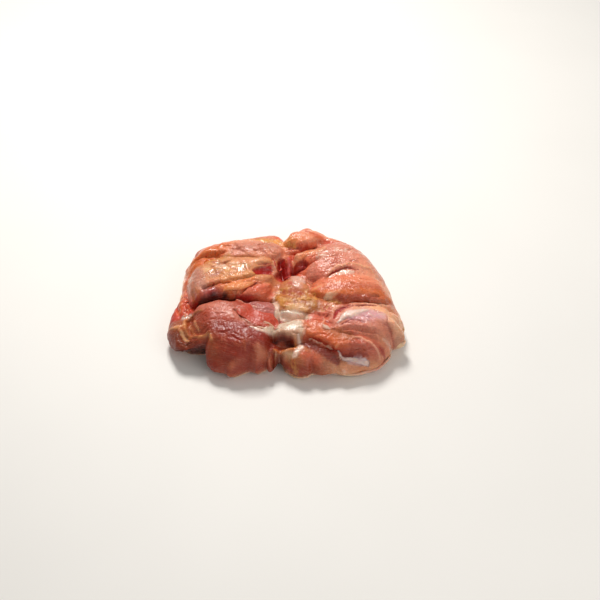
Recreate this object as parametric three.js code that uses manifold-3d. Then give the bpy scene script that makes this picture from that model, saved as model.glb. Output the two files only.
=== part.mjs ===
// A raw boneless chicken leg, lying on its skin with the cut meat side up: the thigh at the left,
// the knee with its white gristle at the front centre, the drumstick meat at the right.
// Millimetres, +X to the right, +Y to the back, +Z up, flat underside at z = 0.
import * as THREE from "three";
import Module from "manifold-3d";
import { mergeVertices } from "three/addons/utils/BufferGeometryUtils.js";

// Driving dimensions.
const scale = 0.9;             // the lengths below are drawn for a piece a ninth larger than this one
const gridAcross = 74;
const gridDeep = 58;
const flatShare = 0.72;        // share of the grid that lies on top, before the rim rolls under
const rimWidth = 14;           // how far in from the outline the rim starts to roll
const rimRoundness = 0.85;
const rimHeight = 8;           // height of the widest line of the rim
const footInset = 9;           // the flat underside ends this far inside the outline
const softness = 1.2;          // how softly neighbouring muscles run together
const unevenness = 0.7;
const pullShare = 0.4;         // share of each fold's overhang that this mesh can carry
const narrowestFold = 2.3;     // and the narrowest furrow

// Outline seen from above: radius in mm at every 15 degrees, from +X towards +Y.
const outlineRadii = [
  73, 71, 68, 67, 64, 68, 62, 62, 65, 73, 80, 75,
  74, 83, 86, 74, 70, 60, 58, 63, 69, 80, 82, 81,
];
// Cuts into the outline and ragged points out of it: degrees, mm, half-width in degrees.
const outlineCuts = [
  [265, 7.5, 4], [91, 8, 5], [219.5, 12.5, 4], [328, 2.5, 4], [152, 2, 4], [247, 2, 3.4],
];
const outlinePoints = [
  [277, 3, 5], [77, 3, 4], [230, 2.5, 4.5], [239, 2, 3.4], [303, 1.5, 4], [336, 3, 4],
];
// Where the rim is hollowed out below, and where its widest line is higher, in the same form.
const undercuts = [[212, 14, 9], [263, 6, 4], [296, 3, 8]];
const rimLifts = [[210, 3, 8], [336, 4, 4]];

// Each muscle is a pillow along a line: from and to are its ends, crest its height at both ends,
// rise the extra height at mid length, bow the sideways bend, blunt the squareness of its ends.
const pillow = (from, to, crest, width, depth, bow, rise, blunt) => (
  { from, to, crest, width, depth, bow, rise, blunt }
);
const muscles = {
  thighMain: pillow([-58, -30], [-8, -46], [30, 27], 40, 28, 3, 0, 6),
  thighFront: pillow([-51, -46], [-9, -54], [20, 18], 26, 16, 0, 0, 6),
  thighFlap: pillow([-82, -31], [-50, -37], [19, 19], 24, 12, 0, 1, 4),
  thighInner: pillow([-60, -19], [-22, -25], [27, 30], 25, 18, 0, 2, 3),
  duskySlip: pillow([-30, -17], [-5, -22], [27, 27], 14, 12, 0, 1, 2.6),
  backStrip: pillow([-49, 33], [-4, 33], [33, 33], 17, 14, 2, 0, 3.4),
  backCorner: pillow([-68, 20], [-42, 39], [27, 30], 17, 16, 2, 1, 2.8),
  backMain: pillow([-66, 5], [-8, 17], [30, 33], 31, 22, 2, 1, 3.6),
  backFold: pillow([-61, -4], [-9, 2], [28, 30], 16, 14, -2, 1, 3.4),
  leftEdge: pillow([-68, 21], [-70, -10], [23, 20], 15, 14, 0, 0, 3),
  leftTip: pillow([-78, -19], [-62, -2], [16, 19], 14, 12, 0, 0, 2.6),
  topFold: pillow([-3, 41], [34, 50], [35, 30], 15, 16, 3, 1, 2.4),
  topRidge: pillow([14, 50], [58, 35], [31, 29], 14, 14, 3, 1, 3),
  drumHead: pillow([4, 20], [26, 30], [31, 32], 20, 14, 0, 1, 2.8),
  drumBack: pillow([12, 20], [65, 19], [32, 31], 36, 22, 5, 3, 3.2),
  drumMid: pillow([15, -4], [73, -3], [30, 29], 27, 20, 3, 3, 3.2),
  drumInner: pillow([9, -10], [71, -12], [25, 25], 20, 8, 0, 1, 3.5),
  shinUpper: pillow([27, -27], [77, -32], [28, 25], 27, 10, 2, 2, 3),
  shinMid: pillow([24, -42], [72, -44], [22, 20], 20, 8, 1, 2, 3.4),
  kneeRight: pillow([9, -30], [36, -39], [26, 24], 21, 9, 0, 0.5, 3),
  kneeLower: pillow([-3, -50], [36, -52], [19, 15], 25, 10, 0, 2, 3.4),
  shinLower: pillow([26, -53], [70, -48], [13, 13], 20, 8, -3, 0, 3),
  rightRim: pillow([68, -20], [77, -36], [25, 21], 15, 16, 1, 0, 3),
  fatCentre: pillow([-8, -9], [26, -16], [26, 27], 24, 14, 0, 0, 3.2),
  kneeCap: pillow([-8, -34.5], [13, -35], [24, 26], 10, 6, 0, 1, 3),
  kneeFloor: pillow([-12, -43], [6, -44], [20, 20], 14, 5, 0, 0, 4),
  fatUpper: pillow([-4, 6], [18, -4], [27, 27], 18, 12, 0, 1, 2.6),
};

// Each crease is a furrow along a line, with a raised lip on its left side that leans over it.
const furrow = (from, to, depth, width, bow, lip, lean) => (
  { from, to, depth, width, bow, lip, lean }
);
const creases = {
  boneBedLeft: furrow([-66, -11], [-36, -8], 9, 2.6, 1, 1.6, 2),
  boneBedMid: furrow([-46, -8.5], [-6, -8], 6, 1.6, 2, 1, 2.4),
  boneBedRight: furrow([29, -16], [69, -13], 4, 1.1, 1.2, 1, 2),
  shinHeel: furrow([26, -24], [35, -15], 7, 2.2, 0, 0, 0),
  crescent: furrow([25, 3], [48, 12], 4, 1.6, 4.5, 1, 1.8),
  topFoldUnder: furrow([-2, 33], [21, 42], 5, 1.5, -1, 1, 1.8),
  bloodLeft: furrow([-22, 18], [-5, 24], 3, 1.4, 0, 1, 1.8),
  bloodMid: furrow([-7, 30], [-3, 10], 4, 2, 0, 0.5, 0),
  bloodRight: furrow([4, 32], [4, 12], 4, 1.6, 0, 0.8, 0.6),
  headUnder: furrow([5, 17], [24, 24], 3.5, 1.2, -1, 0.6, 1),
  shinSplit: furrow([34, -38], [72, -43], 4.5, 1.2, 1, 0.2, 0.6),
  kneeSplit: furrow([13, -40], [40, -52], 4, 1.4, -1, 1, 1.8),
  middleSplit: furrow([-10, -43], [-5, -67], 8, 2.6, -1, 0, 0),
  lowSplit: furrow([30, -48], [56, -49], 3, 1.1, -1, 0.8, 1.4),
  stripUnder: furrow([-43, 22], [-8, 20], 2.4, 1.1, 1, 0.6, 1),
  cornerUnder: furrow([-68, 25], [-43, 30], 3.6, 1.4, 2, 0.8, 1.6),
  sheetEdge: furrow([-60, -1], [-18, 10], 3, 1.1, 1, 0.8, 2.4),
  flapRim: furrow([-74, -24], [-54, -45], 3.6, 1.4, -4, 1.2, 2),
  flapFold: furrow([-68, -23], [-55, -38], 2.6, 1.2, -4, 1, 1.4),
  leftRagOne: furrow([-70, 12], [-66, -20], 2, 1.6, 1.5, 0.6, 0.4),
  leftRagTwo: furrow([-74, 6], [-70, -22], 2, 1.6, -1.5, 0.6, 0.4),
  rightFold: furrow([67, -12], [69, -40], 2, 1.6, 1.5, 0.6, 0.6),
  bandUnder: furrow([14, -3], [38, -12], 2.6, 1.5, -3, 0.6, 1),
  slipEdge: furrow([-34, -23], [-8, -40], 4, 1.2, -4, 0, 0),
};

// Dents with no length: centre, half-axes and depth.
const dents = {
  kneeHole: { at: [-3, -43], size: [7.6, 5.2], depth: 4 },
  bloodHole: { at: [-15, 12], size: [8, 4], depth: 2.4 },
  bloodPit: { at: [-3, 15], size: [7, 7.5], depth: 3 },
  bloodWell: { at: [8, 20], size: [7, 5.5], depth: 4 },
};

// Small muscles, gristle, tendons and fat that lie on the flesh, as tapering ropes of oval section.
const rope = (from, to, width, thick, bow, lift, taper) => (
  { from, to, width, thick, bow, lift, taper }
);
const ropes = {
  kneeSlip: rope([-36, -21.5], [-1, -36], 15, 3.6, 1.6, -0.4, 0.8),
  amberLobe: rope([-50, -7], [-24, 2.5], 11, 6.5, -1.2, -1.6, 0.75),
  bedSlip: rope([-32, -3], [-8, 2], 7, 3.5, 0.5, -1, 0.8),
  gristleKnob: rope([-6, -37.5], [13.5, -34], 12, 4, 1, -0.5, 0.45),
  gristleBack: rope([3, 10], [12, 1], 10, 3.4, 0, -0.8, 0.5),
  tendonDown: rope([11, -36], [7.5, -57], 7, 3.4, 1, -0.6, 0.6),
  fatBack: rope([-20, 41], [4, 38], 9, 3.6, 2, -0.9, 0.5),
};
const ropeSteps = 13;
const ropeSides = 8;

const flesh = { color: 0xb6705a, roughness: 0.42, metalness: 0 };

const clamp = (value, low, high) => Math.min(Math.max(value, low), high);
const bell = (value) => Math.exp(-value * value);

// Sum of rounded bumps round the outline at an angle, each given as degrees, mm and half-width.
function bumpsAt(bumps, angle) {
  const degrees = THREE.MathUtils.radToDeg(angle);
  let sum = 0;
  for (const [centre, size, spread] of bumps) {
    const gap = THREE.MathUtils.euclideanModulo(degrees - centre + 180, 360) - 180;
    sum += size * bell(gap / spread);
  }
  return sum;
}

// Outline radius at an angle: a smooth closed curve through the radii, with the cuts and points.
function outlineRadius(angle) {
  const count = outlineRadii.length;
  const place = THREE.MathUtils.euclideanModulo((angle / (2 * Math.PI)) * count, count);
  const index = Math.floor(place);
  const t = place - index;
  const [a, b, c, d] = [-1, 0, 1, 2].map((step) => outlineRadii[(index + step + count) % count]);
  const radius = b + 0.5 * t * (c - a + t * (2 * a - 5 * b + 4 * c - d + t * (3 * (b - c) + d - a)));
  return radius - bumpsAt(outlineCuts, angle) + bumpsAt(outlinePoints, angle);
}

// Place of a point beside a line: share of its length, and signed distance to its bowed middle.
function beside(line, x, y) {
  const [startX, startY] = line.from;
  const spanX = line.to[0] - startX;
  const spanY = line.to[1] - startY;
  const length = Math.hypot(spanX, spanY);
  const share = ((x - startX) * spanX + (y - startY) * spanY) / (length * length);
  const inside = clamp(share, 0, 1);
  const offset = ((y - startY) * spanX - (x - startX) * spanY) / length;
  return {
    share,
    inside,
    offset: offset - line.bow * 4 * inside * (1 - inside),
    normal: [-spanY / length, spanX / length],
  };
}

// Pillow height: full at the crest, rounding down to its edge, and steep beyond it.
function muscleHeight(muscle, x, y) {
  const { share, inside, offset } = beside(muscle, x, y);
  const edge = Math.abs(2 * share - 1) ** muscle.blunt + Math.abs((2 * offset) / muscle.width) ** 2.3;
  const slope = muscle.crest[0] + (muscle.crest[1] - muscle.crest[0]) * inside;
  const middle = slope + muscle.rise * 4 * inside * (1 - inside) - muscle.depth / 2;
  if (edge < 1) {
    return middle + (muscle.depth / 2) * (1 - edge) ** 0.46;
  }
  return middle - 14 * (Math.min(edge, 4) - 1);
}

// Connective tissue fills the gaps between the muscles up to this height.
function fillHeight(x, y) {
  return clamp(20.5 + 0.17 * (y + 20) - 0.1 * Math.max(Math.abs(x) - 40, 0), 9, 28);
}

// A sum of five crossed sine waves, each bent by another, of about the given wavelength.
function waves(x, y, wavelength) {
  let sum = 0;
  for (let i = 0; i < 5; i += 1) {
    const angle = 2.4 * i + 0.7;
    const pace = ((2 * Math.PI) / wavelength) * (0.75 + 0.13 * i);
    const along = x * Math.cos(angle) + y * Math.sin(angle);
    const across = y * Math.cos(angle) - x * Math.sin(angle);
    sum += Math.sin(pace * along + 1.3 * i + 1.2 * Math.sin(pace * 0.6 * across + i));
  }
  return sum / Math.sqrt(5);
}

// Top surface at a point: soft maximum of muscles and fill, less the creases and dents.
function fleshAt(x, y) {
  const heights = Object.values(muscles).map((muscle) => muscleHeight(muscle, x, y));
  heights.push(fillHeight(x, y));
  const highest = Math.max(...heights);
  const sum = heights.reduce((total, height) => total + Math.exp((height - highest) / softness), 0);
  let height = highest + softness * Math.log(sum) + unevenness * waves(x, y, 24);
  let shiftX = 0;
  let shiftY = 0;
  for (const crease of Object.values(creases)) {
    const { inside, share, offset, normal } = beside(crease, x, y);
    if (share <= 0 || share >= 1) {
      continue;
    }
    const fade = Math.sqrt(Math.sin(Math.PI * inside));
    const width = Math.max(crease.width, narrowestFold);
    height -= crease.depth * fade * bell(offset / width);
    height += crease.lip * fade * bell((offset - 2.2 * width) / (1.4 * width));
    const pull = pullShare * crease.lean * fade * bell((offset - 1.3 * width) / (1.5 * width));
    shiftX -= normal[0] * pull;
    shiftY -= normal[1] * pull;
  }
  for (const dent of Object.values(dents)) {
    const reach = ((x - dent.at[0]) / dent.size[0]) ** 2 + ((y - dent.at[1]) / dent.size[1]) ** 2;
    height -= dent.depth * Math.exp(-(reach ** 1.5));
  }
  return { height: Math.max(height, 3), shiftX, shiftY };
}

// Height of the finished top: the flesh, rolled down to the widest line near the outline.
function topHeight(x, y) {
  const angle = Math.atan2(y, x);
  const inset = Math.hypot(x, y) - outlineRadius(angle) + rimWidth;
  const fade = Math.cos(Math.asin(clamp(inset / rimWidth, 0, 1))) ** rimRoundness;
  const level = rimHeight + bumpsAt(rimLifts, angle);
  return level + (fleshAt(x, y).height - level) * fade;
}

// A square grid point becomes a point on a disc; the inner disc is the top, the outer ring the rim.
function bodyPoint(u, v) {
  const discX = u * Math.sqrt(1 - (v * v) / 2);
  const discY = v * Math.sqrt(1 - (u * u) / 2);
  const reach = Math.min(Math.hypot(discX, discY), 1);
  const angle = Math.atan2(discY, discX);
  const edge = outlineRadius(angle);
  const turn = clamp((reach - flatShare) / (1 - flatShare), 0, 1) * Math.PI;
  const under = turn > Math.PI / 2;
  let radius = (reach / flatShare) * (edge - rimWidth);
  if (under) {
    const hollow = bumpsAt(undercuts, angle) * THREE.MathUtils.smoothstep(turn, 1.5, 2.1);
    radius = edge - footInset * (1 - Math.sin(turn)) - hollow;
  } else if (turn > 0) {
    radius = edge - rimWidth + rimWidth * Math.sin(turn);
  }
  const x = radius * Math.cos(angle);
  const y = radius * Math.sin(angle);
  const level = rimHeight + bumpsAt(rimLifts, angle);
  if (under) {
    return [x, y, level * (1 + Math.cos(turn))];
  }
  const top = fleshAt(x, y);
  const fade = Math.cos(turn) ** rimRoundness;
  return [x + top.shiftX * fade, y + top.shiftY * fade, level + (top.height - level) * fade];
}

// Closed mesh of the body: the grid, with a fan to one centre point under it.
function bodyGeometry() {
  const positions = [];
  const faces = [];
  const rowLength = gridAcross + 1;
  for (let row = 0; row <= gridDeep; row += 1) {
    for (let column = 0; column <= gridAcross; column += 1) {
      positions.push(...bodyPoint((2 * column) / gridAcross - 1, (2 * row) / gridDeep - 1));
    }
  }
  for (let row = 0; row < gridDeep; row += 1) {
    for (let column = 0; column < gridAcross; column += 1) {
      const corner = row * rowLength + column;
      faces.push(corner, corner + 1, corner + rowLength + 1);
      faces.push(corner, corner + rowLength + 1, corner + rowLength);
    }
  }
  const ring = [];
  const lastRow = gridDeep * rowLength;
  for (let column = 0; column < gridAcross; column += 1) ring.push(column);
  for (let row = 0; row < gridDeep; row += 1) ring.push(row * rowLength + gridAcross);
  for (let column = gridAcross; column > 0; column -= 1) ring.push(lastRow + column);
  for (let row = gridDeep; row > 0; row -= 1) ring.push(row * rowLength);
  const centre = positions.length / 3;
  positions.push(0, 0, 0);
  ring.forEach((point, index) => faces.push(ring[(index + 1) % ring.length], point, centre));
  return geometryFrom(positions, faces);
}

// Middle line of a rope: it lies on the flesh, evened out so that it bridges narrow creases.
function ropeLine(rope) {
  const [fromX, fromY] = rope.from;
  const spanX = rope.to[0] - fromX;
  const spanY = rope.to[1] - fromY;
  const length = Math.hypot(spanX, spanY);
  const fine = 36;
  const points = [];
  for (let step = 0; step <= fine; step += 1) {
    const share = (1 - Math.cos((Math.PI * step) / fine)) / 2;
    const bow = 4 * share * (1 - share) * rope.bow;
    const x = fromX + share * spanX - (bow * spanY) / length;
    const y = fromY + share * spanY + (bow * spanX) / length;
    points.push(new THREE.Vector3(x, y, topHeight(x, y)));
  }
  for (let pass = 0; pass < 6; pass += 1) {
    const before = points.map((point) => point.z);
    for (let step = 1; step < fine; step += 1) {
      points[step].z = (before[step - 1] + before[step] + before[step + 1]) / 3;
    }
  }
  points.forEach((point) => point.setZ(point.z + rope.lift));
  return new THREE.CatmullRomCurve3(points);
}

// Closed mesh of a rope: oval rings along its line, drawn in to a point at each end.
function ropeGeometry(rope) {
  const line = ropeLine(rope);
  const positions = [];
  const faces = [];
  const up = new THREE.Vector3(0, 0, 1);
  positions.push(...line.getPoint(0).toArray());
  for (let step = 1; step < ropeSteps; step += 1) {
    const share = step / ropeSteps;
    const point = line.getPoint(share);
    const forward = line.getTangent(share);
    const side = new THREE.Vector3().crossVectors(up, forward).normalize();
    const top = new THREE.Vector3().crossVectors(forward, side);
    const spread = (1 - Math.cos(Math.PI * share)) / 2;
    const size = (4 * spread * (1 - spread)) ** rope.taper / 2;
    for (let turn = 0; turn < ropeSides; turn += 1) {
      const angle = (2 * Math.PI * turn) / ropeSides;
      const place = point.clone();
      place.addScaledVector(side, size * rope.width * Math.cos(angle));
      place.addScaledVector(top, size * rope.thick * Math.sin(angle));
      positions.push(...place.toArray());
    }
  }
  const last = positions.length / 3;
  positions.push(...line.getPoint(1).toArray());
  for (let turn = 0; turn < ropeSides; turn += 1) {
    const next = (turn + 1) % ropeSides;
    faces.push(0, 1 + next, 1 + turn);
    for (let step = 0; step < ropeSteps - 2; step += 1) {
      const near = 1 + step * ropeSides;
      const far = near + ropeSides;
      faces.push(near + turn, near + next, far + next);
      faces.push(near + turn, far + next, far + turn);
    }
    faces.push(last, last - ropeSides + turn, last - ropeSides + next);
  }
  return geometryFrom(positions, faces);
}

function geometryFrom(positions, faces) {
  const geometry = new THREE.BufferGeometry();
  geometry.setAttribute("position", new THREE.Float32BufferAttribute(positions, 3));
  geometry.setIndex(faces);
  return mergeVertices(geometry, 1e-4);
}

const wasm = await Module();
wasm.setup();

function toSolid(geometry) {
  return new wasm.Manifold(new wasm.Mesh({
    numProp: 3,
    vertProperties: new Float32Array(geometry.attributes.position.array),
    triVerts: new Uint32Array(geometry.index.array),
  }));
}

function fromSolid(solid) {
  const mesh = solid.getMesh();
  return geometryFrom(Array.from(mesh.vertProperties), Array.from(mesh.triVerts));
}

// All the meat is one piece, centred on its own outline and standing on z = 0.
function thighGeometry() {
  let solid = toSolid(bodyGeometry());
  for (const rope of Object.values(ropes)) {
    solid = solid.add(toSolid(ropeGeometry(rope)));
  }
  const geometry = fromSolid(solid);
  geometry.computeBoundingBox();
  const { min, max } = geometry.boundingBox;
  geometry.translate(-(min.x + max.x) / 2, -(min.y + max.y) / 2, -min.z);
  geometry.scale(scale, scale, scale);
  geometry.computeVertexNormals();
  return geometry;
}

const thigh = new THREE.Mesh(thighGeometry(), new THREE.MeshStandardMaterial(flesh));
thigh.name = "thigh";

const part = new THREE.Group();
part.name = "chicken_thigh";
part.add(thigh);

export default part;
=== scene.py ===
# A raw boneless chicken leg on its skin, cut meat side up: thigh left, knee at the front, drumstick right.
import bpy
import math
import numpy as np
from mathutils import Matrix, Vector


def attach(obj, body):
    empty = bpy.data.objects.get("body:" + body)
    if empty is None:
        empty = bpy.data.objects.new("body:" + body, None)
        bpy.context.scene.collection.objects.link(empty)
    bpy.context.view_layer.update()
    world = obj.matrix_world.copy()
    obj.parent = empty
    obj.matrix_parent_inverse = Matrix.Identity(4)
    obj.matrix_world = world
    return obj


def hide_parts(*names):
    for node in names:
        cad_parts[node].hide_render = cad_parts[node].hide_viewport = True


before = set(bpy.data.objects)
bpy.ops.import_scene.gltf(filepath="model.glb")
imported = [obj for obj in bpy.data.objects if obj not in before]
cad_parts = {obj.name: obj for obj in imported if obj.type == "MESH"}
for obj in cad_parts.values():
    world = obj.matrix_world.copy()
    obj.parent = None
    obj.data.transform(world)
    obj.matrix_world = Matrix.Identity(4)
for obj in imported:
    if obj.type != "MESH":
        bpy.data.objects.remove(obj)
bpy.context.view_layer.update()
print("frame loaded")

# Everything is drawn in millimetres round the solid's own drawing origin, then centred and scaled.
drawing = {"toMetres": 0.0009, "centre": (-0.95, 3.18)}


# drawing millimetres to metres in the solid's frame
def toFrame(points):
    points = np.array(points, float)
    points[..., 0] -= drawing["centre"][0]
    points[..., 1] -= drawing["centre"][1]
    return points * drawing["toMetres"]


# an sRGB colour from 0 to 255 as linear light
def linear(colour):
    share = np.array(colour, float) / 255
    return tuple(np.where(share <= 0.04045, share / 12.92, ((share + 0.055) / 1.055) ** 2.4))


# 1 at the middle, falling smoothly to nothing on both sides
def bell(value):
    return np.exp(-value * value)


# 0 below low, 1 above high, eased between
def smoothStep(value, low, high):
    share = np.clip((value - low) / (high - low), 0, 1)
    return share * share * (3 - 2 * share)


# smooth noise from -1 to 1: random heights on a turned square lattice, eased between the lattice points
def cloud(x, y, seed):
    size = 97
    heights = np.random.default_rng(seed).random((size, size)) * 2 - 1
    x, y = 0.83 * x - 0.56 * y, 0.56 * x + 0.83 * y
    column, row = np.floor(x).astype(int), np.floor(y).astype(int)
    easeX, easeY = smoothStep(x - column, 0, 1), smoothStep(y - row, 0, 1)
    left, right, lines = column % size, (column + 1) % size, (row % size, (row + 1) % size)
    low, high = (heights[line, left] * (1 - easeX) + heights[line, right] * easeX for line in lines)
    return low * (1 - easeY) + high * easeY


# three layers of noise, each half as wide and half as strong as the one before
def clouds(x, y, width, seed):
    return sum(cloud(x * 2**k / width, y * 2**k / width, seed + k) / 2**k for k in range(3)) / 1.75


# a point pushed about by layers of noise, each as (width, strength)
def wandered(x, y, layers, seed):
    movedX, movedY = x, y
    for step, (width, strength) in enumerate(layers):
        movedX = movedX + strength * cloud(x / width, y / width, seed + step)
        movedY = movedY + strength * cloud(x / width, y / width, seed + len(layers) + step)
    return movedX, movedY


# share of the line's length, that share kept inside it, signed distance to its bowed middle, and its length
def beside(line, x, y):
    (startX, startY), (endX, endY) = line["a"], line["b"]
    spanX, spanY = endX - startX, endY - startY
    length = math.hypot(spanX, spanY)
    share = ((x - startX) * spanX + (y - startY) * spanY) / length**2
    inside = np.clip(share, 0, 1)
    offset = ((y - startY) * spanX - (x - startX) * spanY) / length - line["bow"] * 4 * inside * (1 - inside)
    return share, inside, offset, length


# Outline seen from above: radius at every 15 degrees, cuts and ragged points as (degrees, mm, half-width).
outline = {
    "radii": (73, 71, 68, 67, 64, 68, 62, 62, 65, 73, 80, 75, 74, 83, 86, 74, 70, 60, 58, 63, 69, 80, 82, 81),
    "cuts": (
        (265, 4.5, 2.6), (91, 8, 5), (219.5, 9, 3.6), (330.5, 3, 2.5), (339.5, 2, 1.5), (152, 2, 3),
        (246, 3, 3), (257, 1.5, 1.4), (286, 1.5, 2), (312, 1.2, 2),
    ),
    "points": (
        (277, 3.5, 5), (77, 3, 4), (230, 2.5, 4.5), (239.5, 3, 2.2), (260, 1.5, 2.4), (303, 1.5, 4),
        (336, 4, 2.2), (252, 1.5, 1.6),
    ),
    "ragged": 0.7,
    "undercuts": ((217, 8, 7), (205, 5, 8), (263, 6, 4), (296, 3, 8)),
    "lifts": ((217, 7, 6), (336, 4, 4)),
    # where the rim rolls down more sharply, as (degrees, mm, half-width)
    "sharper": ((216, 9, 9),),
    # painted shade darkening the rim as it rolls down and under, as (degrees, share darker, half-width)
    "shaded": ((216, 0.75, 7), (264, 0.5, 4)),
}


# a smooth closed curve through the radii, less the cuts, plus the points and a little raggedness
def outlineRadius(angle):
    radii = np.array(outline["radii"], float)
    place = (angle / (2 * np.pi) * len(radii)) % len(radii)
    index = np.floor(place).astype(int)
    t = place - index
    a, b, c, d = (radii[(index + step) % len(radii)] for step in (-1, 0, 1, 2))
    radius = b + 0.5 * t * (c - a + t * (2 * a - 5 * b + 4 * c - d + t * (3 * (b - c) + d - a)))
    degrees = place / len(radii) * 360
    for sign, bumps in ((-1, outline["cuts"]), (1, outline["points"])):
        for centre, size, spread in bumps:
            radius = radius + sign * size * bell(((degrees - centre + 540) % 360 - 180) / spread)
    return radius + outline["ragged"] * clouds(9 * np.cos(angle), 9 * np.sin(angle), 1.1, 3)


# tones of the muscles and washes, sRGB
tones = {
    "rose": (190, 82, 54), "maroon": (142, 42, 24), "rust": (160, 76, 34),
    "salmon": (212, 104, 72), "coral": (230, 122, 84), "flushed": (236, 138, 100), "peach": (232, 160, 128),
    "beige": (214, 150, 104), "amber": (212, 112, 50), "honey": (158, 90, 34), "blush": (216, 138, 116),
    "brick": (206, 70, 46), "tan": (204, 132, 86), "umber": (124, 54, 24), "bone": (222, 184, 150),
    "dusky": (184, 108, 100), "straw": (248, 192, 150), "ochre": (180, 94, 50),
}


# A muscle's pillow from a to b: crest heights at both ends, width, depth, sideways bow, extra rise at mid
# length, squareness of its ends, tone, and how thickly random splits lie on it.
def bulge(a, b, crest, width, depth, bow, rise, blunt, tone, split=1):
    ends = dict(a=a, b=b, crest=crest, blunt=blunt)
    return dict(ends, width=width, depth=depth, bow=bow, rise=rise, tone=tone, split=split)


# A furrow from a to b: depth, width, bow, height of the lip on its left, how far that lip leans over it,
# blood in it, which partly paints shade into the furrow, how much wider its right side is, and how much
# higher the meat stands on its left.
def furrow(a, b, depth, width, bow, lip, lean, blood, near=1, step=0):
    cut = dict(a=a, b=b, depth=depth, width=width, bow=bow, near=near)
    return dict(cut, lip=lip, lean=lean, step=step, blood=blood)


# A painted streak along a bent line: widths at its start, middle and end, height of its bed, sRGB tone,
# amount, softness of its edge, and how much film, wet and blood it carries.
def streak(line, width, raised, tone, amount, soft=0.5, film=0, wet=0, blood=0):
    path = dict(line=line, width=width, soft=soft, raised=raised)
    return dict(path, tone=tone, amount=amount, film=film, wet=wet, blood=blood)


# A soft smear along a line from a to b: the mark or tone that it adds, its width, bow and amount.
def smear(kind, a, b, width, bow, amount):
    return dict(kind=kind, a=a, b=b, width=width, bow=bow, amount=amount)


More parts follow.
